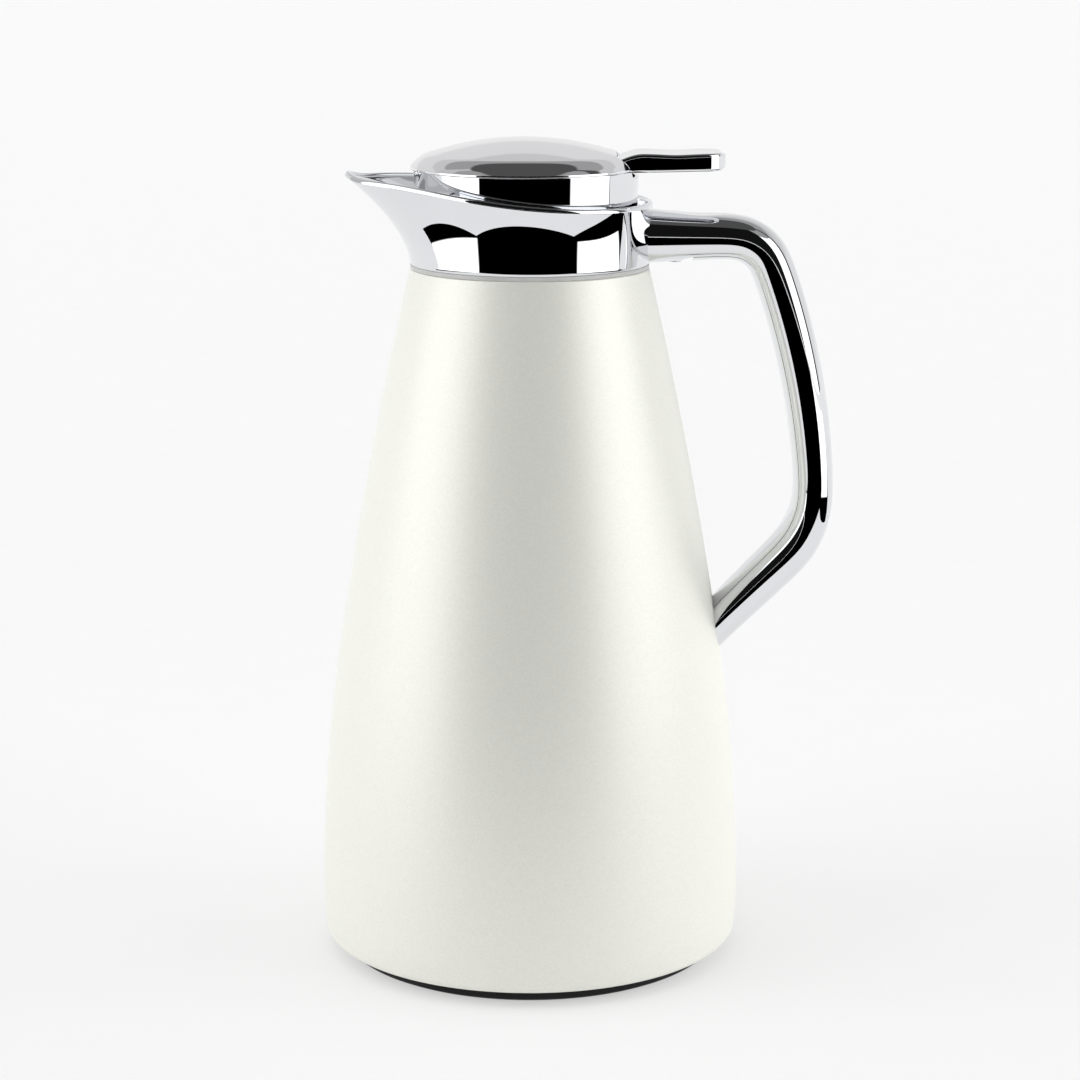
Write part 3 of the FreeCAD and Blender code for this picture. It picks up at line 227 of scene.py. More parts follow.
def rounded(corners, steps=6):
    """A closed outline from rows of (across, up, rounding).

    A corner with a rounding becomes an arc that touches both its sides, and gets one more point
    a little way along each side, so that the flat beside it shades flat. A corner with no
    rounding is a plain point of a smooth run.
    """
    outline = []
    count = len(corners)
    for index, (across, up, radius) in enumerate(corners):
        here = np.array([across, up])
        if radius == 0:
            outline.append(here)
            continue
        before = np.array(corners[index - 1][:2]) - here
        after = np.array(corners[(index + 1) % count][:2]) - here
        space = min(np.linalg.norm(before), np.linalg.norm(after))
        before /= np.linalg.norm(before)
        after /= np.linalg.norm(after)
        half = math.acos(float(np.clip(before @ after, -1.0, 1.0))) / 2
        run = min(radius / math.tan(half), 0.45 * space)
        radius = run * math.tan(half)
        centre = here + (before + after) / np.linalg.norm(before + after) * radius / math.sin(half)
        start, end = here + before * run, here + after * run
        first = math.atan2(*(start - centre)[::-1])
        swing = math.atan2(*(end - centre)[::-1]) - first
        swing = (swing + math.pi) % (2 * math.pi) - math.pi
        support = min(0.3 * run, 0.05 * space)
        outline.append(start + before * support)
        for step in range(steps + 1):
            angle = first + swing * step / steps
            outline.append(centre + radius * np.array([math.cos(angle), math.sin(angle)]))
        outline.append(end + after * support)
    return np.array(outline)


def smoothstep(value, low, high):
    """Zero below low, one above high, and a smooth cubic between."""
    part = np.clip((value - low) / (high - low), 0.0, 1.0)
    return part * part * (3 - 2 * part)


def arc(start, end, radius, turn, count):
    """Points of the short arc from start to end; turn is 1 to the left and -1 to the right."""
    start, end = np.array(start), np.array(end)
    chord = end - start
    span = np.linalg.norm(chord)
    left = np.array([-chord[1], chord[0]]) / span
    centre = (start + end) / 2 + left * turn * math.sqrt(radius ** 2 - span ** 2 / 4)
    first = math.atan2(*(start - centre)[::-1])
    swing = turn * 2 * math.asin(span / 2 / radius)
    angle = first + swing * np.linspace(0.0, 1.0, count, endpoint=False)
    return centre + radius * np.stack([np.cos(angle), np.sin(angle)], axis=1)


def line(start, end, count):
    """Evenly spaced points from start, not counting end."""
    part = np.linspace(0.0, 1.0, count, endpoint=False)[:, None]
    return np.array(start) * (1 - part) + np.array(end) * part


def softened(curve, width):
    """A curve averaged along itself with a bell of this many points, its two ends kept."""
    reach = 3 * width
    offsets = np.arange(-reach, reach + 1)
    bell = np.exp(-0.5 * (offsets / width) ** 2)
    bell /= bell.sum()
    head = 2 * curve[0] - curve[reach:0:-1]
    tail = 2 * curve[-1] - curve[-2:-reach - 2:-1]
    padded = np.concatenate([head, curve, tail])
    return np.stack([np.convolve(padded[:, axis], bell, mode="valid")
                     for axis in range(curve.shape[1])], axis=1)


# ---------------------------------------------------------------- material helpers

def add_node(tree, kind, **settings):
    """Adds a node and sets its plain settings and its inputs' default values."""
    node = tree.nodes.new(kind)
    for name, amount in settings.items():
        if name.replace("_", " ") in node.inputs:
            node.inputs[name.replace("_", " ")].default_value = amount
        else:
            setattr(node, name, amount)
    return node


class Finish:
    """A material on Object coordinates, built from a few kinds of procedural detail."""

    def __init__(self, name, base, metallic=0.0, roughness=0.5, **sockets):
        self.material = bpy.data.materials.new("jug_" + name)
        self.material.use_nodes = True
        self.tree = self.material.node_tree
        self.shader = self.tree.nodes["Principled BSDF"]
        self.place = self.add("ShaderNodeTexCoord").outputs["Object"]
        self.base = tuple(base) + (1.0,)
        self.bumps = None
        self.shader.inputs["Base Color"].default_value = self.base
        self.shader.inputs["Metallic"].default_value = metallic
        self.shader.inputs["Roughness"].default_value = roughness
        for socket, amount in sockets.items():
            self.shader.inputs[socket.replace("_", " ")].default_value = amount

    def add(self, kind, **settings):
        """Adds a node to this material."""
        return add_node(self.tree, kind, **settings)

    def join(self, source, target):
        """Links one socket to another."""
        self.tree.links.new(source, target)

    def noise(self, scale, detail, stretch=(1.0, 1.0, 1.0)):
        """Fractal noise, with the pattern stretched along the axes."""
        mapping = self.add("ShaderNodeMapping", Scale=stretch)
        self.join(self.place, mapping.inputs["Vector"])
        node = self.add("ShaderNodeTexNoise", Scale=scale, Detail=detail, Roughness=0.5)
        self.join(mapping.outputs["Vector"], node.inputs["Vector"])
        return node.outputs["Fac"]

    def flakes(self, scale):
        """A random value for each cell of a fine cell pattern."""
        node = self.add("ShaderNodeTexVoronoi", Scale=scale)
        self.join(self.place, node.inputs["Vector"])
        grey = self.add("ShaderNodeRGBToBW")
        self.join(node.outputs["Color"], grey.inputs["Color"])
        return grey.outputs["Val"]

    def spread(self, source, low, high, start=0.3, end=0.7):
        """Maps a pattern's middle range to the given range."""
        node = self.add("ShaderNodeMapRange", clamp=True, From_Min=start, From_Max=end,
                        To_Min=low, To_Max=high)
        self.join(source, node.inputs["Value"])
        return node.outputs["Result"]

    def vary_roughness(self, source, low, high, start=0.3, end=0.7):
        """Lets a pattern move the roughness between two values."""
        self.join(self.spread(source, low, high, start, end), self.shader.inputs["Roughness"])

    def vary_colour(self, source, other, start=0.3, end=0.7):
        """Mixes the base colour towards another by a pattern."""
        mix = self.add("ShaderNodeMix", data_type="RGBA")
        mix.inputs[6].default_value = self.base
        mix.inputs[7].default_value = tuple(other) + (1.0,)
        self.join(self.spread(source, 0.0, 1.0, start, end), mix.inputs[0])
        self.join(mix.outputs[2], self.shader.inputs["Base Color"])

    def bump(self, source, distance, strength):
        """Adds relief of this height in metres on top of any relief already there."""
        node = self.add("ShaderNodeBump", Strength=strength, Distance=distance)
        self.join(source, node.inputs["Height"])
        if self.bumps is not None:
            self.join(self.bumps, node.inputs["Normal"])
        self.bumps = node.outputs["Normal"]
        self.join(self.bumps, self.shader.inputs["Normal"])


def chrome_finish():
    """Bright plating: faint waviness, faint haze and fine wiping marks."""
    finish = Finish("chrome_plate", finishes().chrome, 1.0, 0.004)
    finish.vary_roughness(finish.noise(38.0, 5.0), 0.004, 0.016, 0.45, 0.75)
    finish.vary_colour(finish.noise(22.0, 2.0), [part * 0.965 for part in finishes().chrome])
    finish.bump(finish.noise(30.0, 1.0), 0.00004, 0.15)
    finish.bump(finish.noise(900.0, 2.0, (1.0, 1.0, 0.2)), 0.000002, 0.015)
    return finish.material


def satin_finish():
    """Pale satin plating: a soft mirror with fine polishing marks."""
    finish = Finish("lid_satin", finishes().satin, 1.0, 0.03)
    finish.vary_roughness(finish.noise(46.0, 4.0), 0.02, 0.045)
    finish.vary_colour(finish.noise(30.0, 2.0), [part * 0.97 for part in finishes().satin])
    finish.bump(finish.noise(26.0, 1.0), 0.00003, 0.2)
    finish.bump(finish.noise(1100.0, 2.0, (1.0, 0.3, 1.0)), 0.000002, 0.06)
    return finish.material


def lacquer_finish():
    """Satin pearl lacquer: fine flakes and a slight orange peel."""
    finish = Finish("casing_lacquer", finishes().lacquer, 0.3, 0.45)
    finish.vary_colour(finish.flakes(2600.0), [part * 0.955 for part in finishes().lacquer])
    finish.vary_roughness(finish.noise(700.0, 2.0), 0.42, 0.48)
    finish.bump(finish.noise(420.0, 2.0), 0.00001, 0.25)
    return finish.material


def plastic_finish(name, base, roughness, grain):
    """Moulded plastic: fine spark-eroded grain, faint flow marks."""
    finish = Finish(name, base, 0.0, roughness, Specular_IOR_Level=0.2)
    finish.vary_colour(finish.noise(60.0, 4.0), [min(1.0, part * 1.5 + 0.004) for part in base])
    finish.vary_roughness(finish.noise(320.0, 3.0), roughness - 0.07, roughness + 0.08)
    finish.bump(finish.noise(2400.0, 3.0), grain, 0.5)
    return finish.material


def silicone_finish():
    """Translucent silicone with a soft sheen."""
    finish = Finish("seal_silicone", finishes().silicone, 0.0, 0.42, Subsurface_Weight=0.25,
                    Subsurface_Scale=0.002)
    finish.vary_colour(finish.noise(90.0, 3.0), [part * 0.9 for part in finishes().silicone])
    finish.vary_roughness(finish.noise(500.0, 2.0), 0.36, 0.5)
    finish.bump(finish.noise(1500.0, 2.0), 0.000008, 0.4)
    return finish.material


def rubber_finish():
    """Dark soft rubber with dust in its grain."""
    finish = Finish("foot_rubber", (0.02, 0.02, 0.02), 0.0, 0.72)
    finish.vary_colour(finish.noise(160.0, 5.0), (0.05, 0.049, 0.047), 0.5, 0.8)
    finish.vary_roughness(finish.noise(420.0, 3.0), 0.62, 0.82)
    finish.bump(finish.noise(1800.0, 3.0), 0.00002, 0.6)
    return finish.material


def steel_finish():
    """Drawn stainless steel with fine marks along its length."""
    finish = Finish("plain_steel", finishes().steel, 1.0, 0.26)
    finish.vary_roughness(finish.noise(240.0, 4.0, (6.0, 6.0, 0.6)), 0.16, 0.34)
    finish.vary_colour(finish.noise(130.0, 3.0), [part * 0.86 for part in finishes().steel])
    finish.bump(finish.noise(1400.0, 2.0, (4.0, 4.0, 0.4)), 0.000006, 0.35)
    return finish.material


def glass_finish():
    """Silvered glass: a bright mirror under a clear wall, slightly wavy from blowing."""
    finish = Finish("silvered_glass", finishes().glass, 1.0, 0.06, Coat_Weight=1.0,
                    Coat_Roughness=0.02)
    finish.vary_colour(finish.noise(26.0, 3.0), [part * 0.88 for part in finishes().glass])
    finish.vary_roughness(finish.noise(60.0, 3.0), 0.04, 0.11)
    finish.bump(finish.noise(34.0, 2.0), 0.0002, 0.3)
    return finish.material


def seam_finish():
    """Pale grey moulded ring with a soft gloss."""
    finish = Finish("seam_grey", finishes().seam, 0.0, 0.38)
    finish.vary_colour(finish.noise(150.0, 3.0), [part * 0.9 for part in finishes().seam])
    finish.vary_roughness(finish.noise(400.0, 2.0), 0.32, 0.46)
    finish.bump(finish.noise(1800.0, 2.0), 0.00001, 0.3)
    return finish.material


MAKERS = {
    "chrome_plate": chrome_finish,
    "lid_satin": satin_finish,
    "casing_lacquer": lacquer_finish,
    "base_black": lambda: plastic_finish("base_black", finishes().black, 0.46, 0.00002),
    "inner_plastic": lambda: plastic_finish("inner_plastic", finishes().inner, 0.38, 0.000012),
    "seal_silicone": silicone_finish,
    "foot_rubber": rubber_finish,
    "plain_steel": steel_finish,
    "silvered_glass": glass_finish,
    "seam_grey": seam_finish,
}


def finish_for(slot):
    """The material of a slot, made the first time. The CAD's plain one has the bare slot name."""
    return bpy.data.materials.get("jug_" + slot) or MAKERS[slot]()


def dress(piece, body, slot, *nodes):
    """Gives a new piece its finish and its body, and hides the nodes it stands for."""
    piece.data.materials.append(finish_for(slot))
    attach(piece, body)
    if nodes:
        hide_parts(*nodes)


def dress_node(node, slot):
    """Gives a carried-over node its finish."""
    thing = NODES[node]
    thing.data.materials.clear()
    thing.data.materials.append(finish_for(slot))


# ---------------------------------------------------------------- shared curves

def casing_radius(height):
    """Outer radius of the casing at a height: two circular sweeps that meet at the waist."""
    size = sizes()
    wide = np.array([CASING_HIGH[0], size.wide_height])
    waist = np.array([size.waist_radius, size.waist_height])
    top = np.array([SEAM_HIGH[0], CASING_HIGH[2]])
    radii = []
    for start, end, sweep in ((wide, waist, size.lower_sweep), (waist, top, size.upper_sweep)):
        chord = end - start
        span = np.linalg.norm(chord)
        left = np.array([-chord[1], chord[0]]) / span
        centre = (start + end) / 2 + left * math.sqrt(sweep ** 2 - span ** 2 / 4)
        radii.append(centre[0] + np.sqrt(np.maximum(sweep ** 2 - (height - centre[1]) ** 2, 0.0)))
    return np.where(height < size.waist_height, radii[0], radii[1])


def spout_weight(turn):
    """How much of the spout's shape shows at an angle away from it: 1 at the spout, 0 far off."""
    soft = np.sqrt(turn ** 2 + 0.05 ** 2) - 0.05
    return np.exp(-(soft / sizes().spout_spread) ** 1.3)


def rim_height(turn):
    """Height of the rim's widest line: low at the handle, a power of the cosine to the spout."""
    size = sizes()
    lift = size.rim_lift * ((1 + np.cos(turn)) / 2) ** 2
    return size.rim_rear + lift + size.tip_lift * np.exp(-(turn / 0.12) ** 2)


def collar_radius(turn, part):
    """Outer radius of the collar at an angle from the spout and a part of the way up."""
    size = sizes()
    weight = spout_weight(turn)
    spout = (-COLLAR_LOW[0] - size.collar_radius) * part ** 1.7
    flare = size.rim_flare * part ** 3 * (1 - 0.6 * smoothstep(turn, 2.1, 2.9))
    fairing = 0.0011 * np.exp(-((math.pi - turn) / 0.36) ** 2) * 4 * part * (1 - part)
    flare = flare + fairing
    return size.collar_radius + weight * spout + (1 - weight) * flare


# ---------------------------------------------------------------- casing and base

class JUG_OT_casing(Operator):
    """Lacquered casing: a turned sheet with both edges rolled in"""
    bl_idname = "jug.casing"
    bl_label = "Casing"

    def execute(self, context):
        size = sizes()
        wall = size.casing_wall
        height = np.linspace(size.wide_height, CASING_HIGH[2], 90)[:-1]
        outer = casing_radius(height)
        edge, top = CASING_LOW[2], CASING_HIGH[2]
        flange = BASE_HIGH[0] - 0.002
        heel = CASING_HIGH[0] - 0.0010
        lip = SEAM_HIGH[0]
        shelf = lip - 0.0027
        corners = [(flange, edge, 0.0002), (heel, edge, 0.0028)]
        corners += [(radius, up, 0.0) for radius, up in zip(outer, height)]
        corners += [(lip, top, 0.0006), (shelf, top, 0.0002), (shelf, top - wall, 0.0002),
                    (lip - wall, top - wall, 0.0004)]
        corners += [(radius - wall, up, 0.0) for radius, up in zip(outer[::-1], height[::-1])]
        corners += [(heel - wall, edge + wall, 0.0020),
                    (flange, edge + wall, 0.0002)]
        piece = ring_piece("casing_skin", turned(rounded(corners)))
        dress(piece, "root", "casing_lacquer", "outer_casing")
        return {"FINISHED"}


class JUG_OT_base(Operator):
    """Black base ring, the foot ring in its groove and the ring under the collar"""
    bl_idname = "jug.base"
    bl_label = "Base and seam rings"

    def execute(self, context):
        inner_foot, outer_foot = FOOT_HIGH[0] - 0.006, FOOT_HIGH[0]
        radius, bottom = BASE_HIGH[0], BASE_LOW[2]
        edge = CASING_LOW[2]
        inner, spigot_out, spigot_in = radius - 0.016, radius - 0.0026, radius - 0.007
        ring = rounded([
            (inner, bottom, 0.0005), (inner_foot, bottom, 0.0002),
            (inner_foot, FOOT_HIGH[2], 0.0002), (outer_foot, FOOT_HIGH[2], 0.0002),
            (outer_foot, bottom, 0.0002), (radius, bottom, 0.0009),
            (radius, edge - 0.0002, 0.0004), (spigot_out, edge - 0.0002, 0.0002),
            (spigot_out, BASE_HIGH[2], 0.0004), (spigot_in, BASE_HIGH[2], 0.0004),
            (spigot_in, edge, 0.0004), (inner, edge, 0.0004),
        ])
        dress(ring_piece("base_ring_skin", turned(ring)), "root", "base_black",
              "casing_base_ring")
        foot = rounded([
            (inner_foot, FOOT_LOW[2], 0.0009), (outer_foot, FOOT_LOW[2], 0.0009),
            (outer_foot, FOOT_HIGH[2], 0.0002), (inner_foot, FOOT_HIGH[2], 0.0002),
        ])
        dress(ring_piece("foot_ring_skin", turned(foot)), "root", "foot_rubber", "foot_ring")
        seam_out, seam_in = SEAM_HIGH[0], SEAM_HIGH[0] - 0.0026
        seam = rounded([
            (seam_in, SEAM_LOW[2], 0.0002), (seam_out, SEAM_LOW[2], 0.0004),
            (seam_out, SEAM_HIGH[2], 0.0004), (seam_in, SEAM_HIGH[2], 0.0002),
        ])
        dress(ring_piece("seam_ring_skin", turned(seam)), "root", "seam_grey",
              "collar_seam_ring")
        return {"FINISHED"}


# ---------------------------------------------------------------- collar

class JUG_OT_collar(Operator):
    """Chromed collar with its beaded rim, spout and inner floor"""
    bl_idname = "jug.collar"
    bl_label = "Collar"

    def execute(self, context):
        piece = ring_piece("collar_skin", self.surface())
        dress(piece, "root", "chrome_plate", "pouring_collar")
        return {"FINISHED"}

    def surface(self):
        """Points round the axis and round the collar's wall.

        Outside, the radius is the collar's foot plus the spout's curve, a power 1.7 of the way
        up, and the plain flare, a cube of the way up, shared out by the spout's weight. The rim
        is a half circle. Inside, the wall stays one thickness in, but under the spout it falls
        as a power 7 of the way up, which makes a shallow trough with an edge above the well.
        """
        size = sizes()
        angle = np.linspace(0.0, 2 * math.pi, 320, endpoint=False)[:, None]
        turn = behind(angle)
        weight = spout_weight(turn)
        foot, rim = COLLAR_LOW[2], rim_height(turn)
        bore = SEAM_HIGH[0] - 0.0083
        floor = foot + 0.0024
        bead = 0.0010

        part = 1 - (1 - np.linspace(0.0, 1.0, 44)[None, :]) ** 1.25
        outer = collar_radius(turn, part)
        outer_up = foot + (rim - foot) * part
        lip = collar_radius(turn, 1.0)
        bow = np.linspace(0.0, math.pi, 13)[None, 1:-1]
        bead_out = lip - bead + bead * np.cos(bow)
        bead_up = rim + bead * 1.5 * np.sin(bow)
        back = part[:, ::-1]
        plain = collar_radius(turn, back) - 2 * bead
        well = size.collar_radius - size.collar_wall
        trough = well + (lip - 2 * bead - well) * back ** 7
        inner = plain * (1 - weight) + trough * weight
        inner_up = floor + (rim - floor) * back
        low = [(bore + 0.0004, floor), (bore, floor - 0.0004), (bore, foot + 0.0004),
               (bore + 0.0004, foot), (size.collar_radius - 0.0009, foot),
               (size.collar_radius - 0.0003, foot + 0.0001)]
        whole = np.ones_like(angle)
        radius = [outer[:, 1:], bead_out, inner] + [whole * across for across, _ in low]
        height = [outer_up[:, 1:], bead_up, inner_up] + [whole * up for _, up in low]
        radius = np.concatenate([np.broadcast_to(row, (len(angle), row.shape[1]))
                                 for row in radius], axis=1)
        height = np.concatenate([np.broadcast_to(row, (len(angle), row.shape[1]))
                                 for row in height], axis=1)
        return np.stack([-radius * np.cos(angle), -radius * np.sin(angle), height], axis=2)


# ---------------------------------------------------------------- handle

class JUG_OT_handle(Operator):
    """Chromed handle: outer shell and the cover on the finger side"""
    bl_idname = "jug.handle"
    bl_label = "Handle"

    PARTING = -0.78
    GAP = 0.013

    def execute(self, context):
        shell = self.section_points(lambda bulge, split: np.maximum(bulge, split))
        dress(tube_piece("handle_shell_skin", shell), "root", "chrome_plate", "handle_shell")
        cover = self.section_points(lambda bulge, split: np.minimum(bulge, split - self.GAP))
        start = int(np.argmax(self.split_line()[:, 0] > self.PARTING - 0.02))
        dress(tube_piece("handle_cover_skin", cover[start:]), "root", "chrome_plate",
              "handle_inner_cover")
        return {"FINISHED"}

    def back_curve(self):
        """Side outline of the back: straight arm, bend, long bow, bend, straight leg."""
        reach, top = HANDLE_HIGH[0], HANDLE_HIGH[2]
        crown, brow = (0.0730, top - 0.0016), (0.0920, top - 0.0143)
        hip, heel = (reach, 0.1700), (0.1005, 0.1426)
        return np.concatenate([
            line((0.0400, top), crown, 16), arc(crown, brow, 0.023, -1, 16),
            arc(brow, hip, 0.262, -1, 44), arc(hip, heel, 0.042, -1, 16),
            line(heel, (0.0620, 0.1057), 28), [[0.0620, 0.1057]],
        ])

    def finger_curve(self):
        """Side outline of the finger side, point for point beside the back."""
        crown, brow = (0.0710, 0.2532), (0.0787, 0.2477)
        hip, heel = (0.0949, 0.1713), (0.0876, 0.1524)
        return np.concatenate([
            line((0.0400, 0.2518), crown, 16), arc(crown, brow, 0.009, -1, 16),
            arc(brow, hip, 0.265, -1, 44), arc(hip, heel, 0.027, -1, 16),
            line(heel, (0.0600, 0.1237), 28), [[0.0600, 0.1237]],
        ])

    def split_line(self):
        """Where the parting runs along the handle, as a part of its half thickness."""
        along = softened(self.back_curve(), 3)[:, 0]
        started = smoothstep(along, 0.0545, 0.0575)
        return (-1.0 - self.GAP) + (self.PARTING + 1.0 + self.GAP) * started[:, None]

    def section_points(self, cut):
        """Rounded sections between the two side outlines.

        A section runs from one outline to the other with a superellipse: the part of the half
        thickness is the cosine, and the part of the half width the sine, each to the power two
        over the squareness. The cut keeps the shell's or the cover's side of the parting, and a
        point that it moves goes no wider than the section is there.
        """
        size = sizes()
        back, finger = softened(self.back_curve(), 3), softened(self.finger_curve(), 3)
        middle = (back + finger) / 2
        half = (back - finger) / 2
        around = np.linspace(0.0, 2 * math.pi, 96, endpoint=False)[None, :]
        power = 2 / size.handle_square
        bulge = np.sign(np.cos(around)) * np.abs(np.cos(around)) ** power
        side = np.sign(np.sin(around)) * np.abs(np.sin(around)) ** power
        whole = np.broadcast_to(bulge, (len(back), bulge.shape[1]))
        bulge = cut(whole, self.split_line())
        edge = (1 - np.minimum(np.abs(bulge), 1.0) ** size.handle_square) ** (power / 2)
        side = np.where(bulge != whole, np.clip(side, -edge, edge), side)
        across = middle[:, 0:1] + half[:, 0:1] * bulge
        up = middle[:, 1:2] + half[:, 1:2] * bulge
        along = np.linspace(0.0, 1.0, len(back))[:, None]
        width = size.handle_width / 2 * (1 - 0.10 * smoothstep(along, 0.75, 1.0))
        over = width * side
        spot = 1 - ((across - 0.0590) / 0.0105) ** 2 - (over / 0.0065) ** 2
        up = up - 0.0007 * np.clip(spot, 0.0, None) * (bulge > 0.5) * (across < 0.0720)
        points = np.stack([across, over, up], axis=2)
        points[0] = self.on_collar(points[0])
        points[1:6] = self.blend_from(points[0], points[1:6], points[6])
        points[-1] = self.on_casing(points[-1], back[-1] - back[-2])
        points[-9:-1] = self.blend_from(points[-1], points[-9:-1][::-1], points[-10])[::-1]
        return points

    def on_collar(self, ring):
        """Moves a ring of points along X on to the collar's rear, just under its surface."""
        foot = COLLAR_LOW[2]
        part = np.clip((ring[:, 2] - foot) / (rim_height(math.pi) - foot), 0.0, 1.0)
        radius = collar_radius(np.full(len(ring), math.pi), part) - 0.0005
        moved = ring.copy()
        moved[:, 0] = np.sqrt(radius ** 2 - ring[:, 1] ** 2)
        return moved

    def on_casing(self, ring, heading):
        """Slides a ring of points along the leg until each lies just under the casing's skin."""
        step = np.array([heading[0], 0.0, heading[1]]) / np.linalg.norm(heading)
        near = ring - step * 0.03
        far = ring + step * 0.03
        for _ in range(40):
            middle = (near + far) / 2
            inside = np.hypot(middle[:, 0], middle[:, 1]) < casing_radius(middle[:, 2]) - 0.0004
            far = np.where(inside[:, None], middle, far)
            near = np.where(inside[:, None], near, middle)
        return (near + far) / 2

    def blend_from(self, fixed, rings, anchor):
        """Spaces rings evenly from the fixed one to the anchor, along straight lines."""
        part = np.linspace(0.0, 1.0, len(rings) + 2)[1:-1, None, None]
        return fixed[None] * (1 - part) + anchor[None] * part


# ---------------------------------------------------------------- lid and lever

def behind(angle):
    """Angle away from the handle's side, for a turn angle that starts at the handle."""
    return np.abs((angle + math.pi) % (2 * math.pi) - math.pi)


class JUG_OT_skirt(Operator):
    """Chromed skirt of the lid, lower under the lever"""
    bl_idname = "jug.skirt"
    bl_label = "Lid skirt"

    def execute(self, context):
        top, low = SKIRT_HIGH[2] + 0.0009, SKIRT_LOW[2]
        radius, wall = DOME_HIGH[1] - 0.0003, 0.0014
        inside, shelf = radius - wall, radius - wall - 0.002
        shelf_top, shelf_low = top - 0.0079, top - 0.0091
        profile = rounded([
            (radius - wall - 0.0006, low, 0.0004), (radius - 0.0006, low, 0.0006),
            (radius, top, 0.0003), (inside, top, 0.0003), (inside, shelf_top, 0.0002),
            (shelf, shelf_top, 0.0002), (shelf, shelf_low, 0.0002), (inside, shelf_low, 0.0002),
        ])
        grid = turned(profile, SKIRT_TURNS, (0.6 * (DOME_LOW[0] + DOME_HIGH[1]), 0.0))
        angle = np.linspace(0.0, 2 * math.pi, SKIRT_TURNS, endpoint=False)[:, None]
        drop = 0.0025 * (1 - smoothstep(behind(angle), 0.352, 0.392))
        near_top = smoothstep(grid[:, :, 2], top - 0.005, top - 0.0005)
        grid[:, :, 2] -= drop * near_top
        dress(ring_piece("skirt_skin", grid), "closure", "chrome_plate", "lid_skirt")
        return {"FINISHED"}


class JUG_OT_dome(Operator):
    """Domed cap with its brim and the slot that the lever comes out of"""
    bl_idname = "jug.dome"
    bl_label = "Lid dome"

    def execute(self, context):
        grid = self.surface()
        rows, columns = grid.shape[:2]
        points = grid.reshape(-1, 3)
        top, under = grid[:, 0].mean(axis=0), grid[:, -1].mean(axis=0)
        ring = np.arange(rows) * columns
        faces = [sheet_faces(rows, columns, True, False),
                 np.concatenate([fan(ring, len(points), False),
                                 fan(ring + columns - 1, len(points) + 1, True)])]
        piece = mesh_object("dome_skin", np.concatenate([points, [top, under]]), faces)
        dress(piece, "closure", "lid_satin", "lid_dome")
        return {"FINISHED"}

    def surface(self):
        """Points round the dome's own axis and along its wall, from crown to inner crown.

        The crown sinks by the square of the radius over twice the crown radius, which is nearly
        a spherical cap, and is rounded at its shoulder into a low brim. In the slot's range of
        angles the same number of points stops short at the slot's front edge, and a smooth step
        joins the two.
        """
        centre = DOME_LOW[0] + DOME_HIGH[1]
        brim, top, low = DOME_HIGH[1], DOME_HIGH[2], DOME_LOW[2] + 0.0009
        crown, wall = 0.1055, 0.0018
        cap, inner_part = 0.0345, 0.94
        slot = 0.0304 - centre
        fine = np.linspace(-0.10, 0.10, 41)
        edges = np.concatenate([0.385 + 0.6 * fine[::2], -0.385 + 0.6 * fine[::2]])
        plain = np.linspace(0.0, 2 * math.pi, 180, endpoint=False)
        angle = np.unique(np.round(np.concatenate([plain, edges % (2 * math.pi)]), 6))[:, None]

        reach = np.linspace(0.02, 1.0, 40)
        across = reach * cap
        outer = np.stack([across, top - across ** 2 / 2 / crown], axis=1)
        shoulder_up = top - cap ** 2 / 2 / crown
        steep = np.linspace(0.0, 1.0, 9)[1:-1]
        curve = np.stack([cap + (brim - cap) * steep,
                          shoulder_up - 0.327 * (brim - cap) * steep - 0.0024 * steep ** 1.8],
                         axis=1)
        shoulder = np.concatenate([curve, rounded([
            (0.0395, low + 0.0013, 0.0), (brim, low + 0.0007, 0.0002),
            (brim, low, 0.0002),
            (brim - 0.005, low, 0.0003), (brim - 0.0052, low + 0.0012, 0.0006),
            (0.0330, top - 0.0060 - wall, 0.001), (0.0325, top - 0.0058 - wall, 0.0),
        ])[1:-1]])
        inner_across = across[::-1] * inner_part
        inner = np.stack([inner_across, top - wall - inner_across ** 2 / 2 / (crown - wall)],
                         axis=1)
        full = np.concatenate([outer, shoulder, inner])

        cut_reach = slot / np.cos(np.clip(behind(angle), 0.0, 0.6))
        scale = cut_reach / cap
        cut_outer = np.stack([across * scale, top - (across * scale) ** 2 / 2 / crown], axis=2)
        edge = cut_outer[:, -1:]
        down = np.linspace(0.0, 1.0, len(shoulder))[None, :, None]
        inner_scale = np.broadcast_to(inner_across * scale / inner_part, cut_outer.shape[:2])
        cut_inner = np.stack([inner_scale, top - wall - inner_scale ** 2 / 2 / (crown - wall)],
                             axis=2)
        face = edge * (1 - down) + cut_inner[:, :1] * down
        cut = np.concatenate([cut_outer, face, cut_inner], axis=1)

        share = smoothstep(behind(angle), 0.372, 0.398)[:, :, None]
        profile = full[None] * share + cut * (1 - share)
        radius, height = profile[:, :, 0], profile[:, :, 1]
        return np.stack([centre + radius * np.cos(angle), radius * np.sin(angle), height],
                        axis=2)


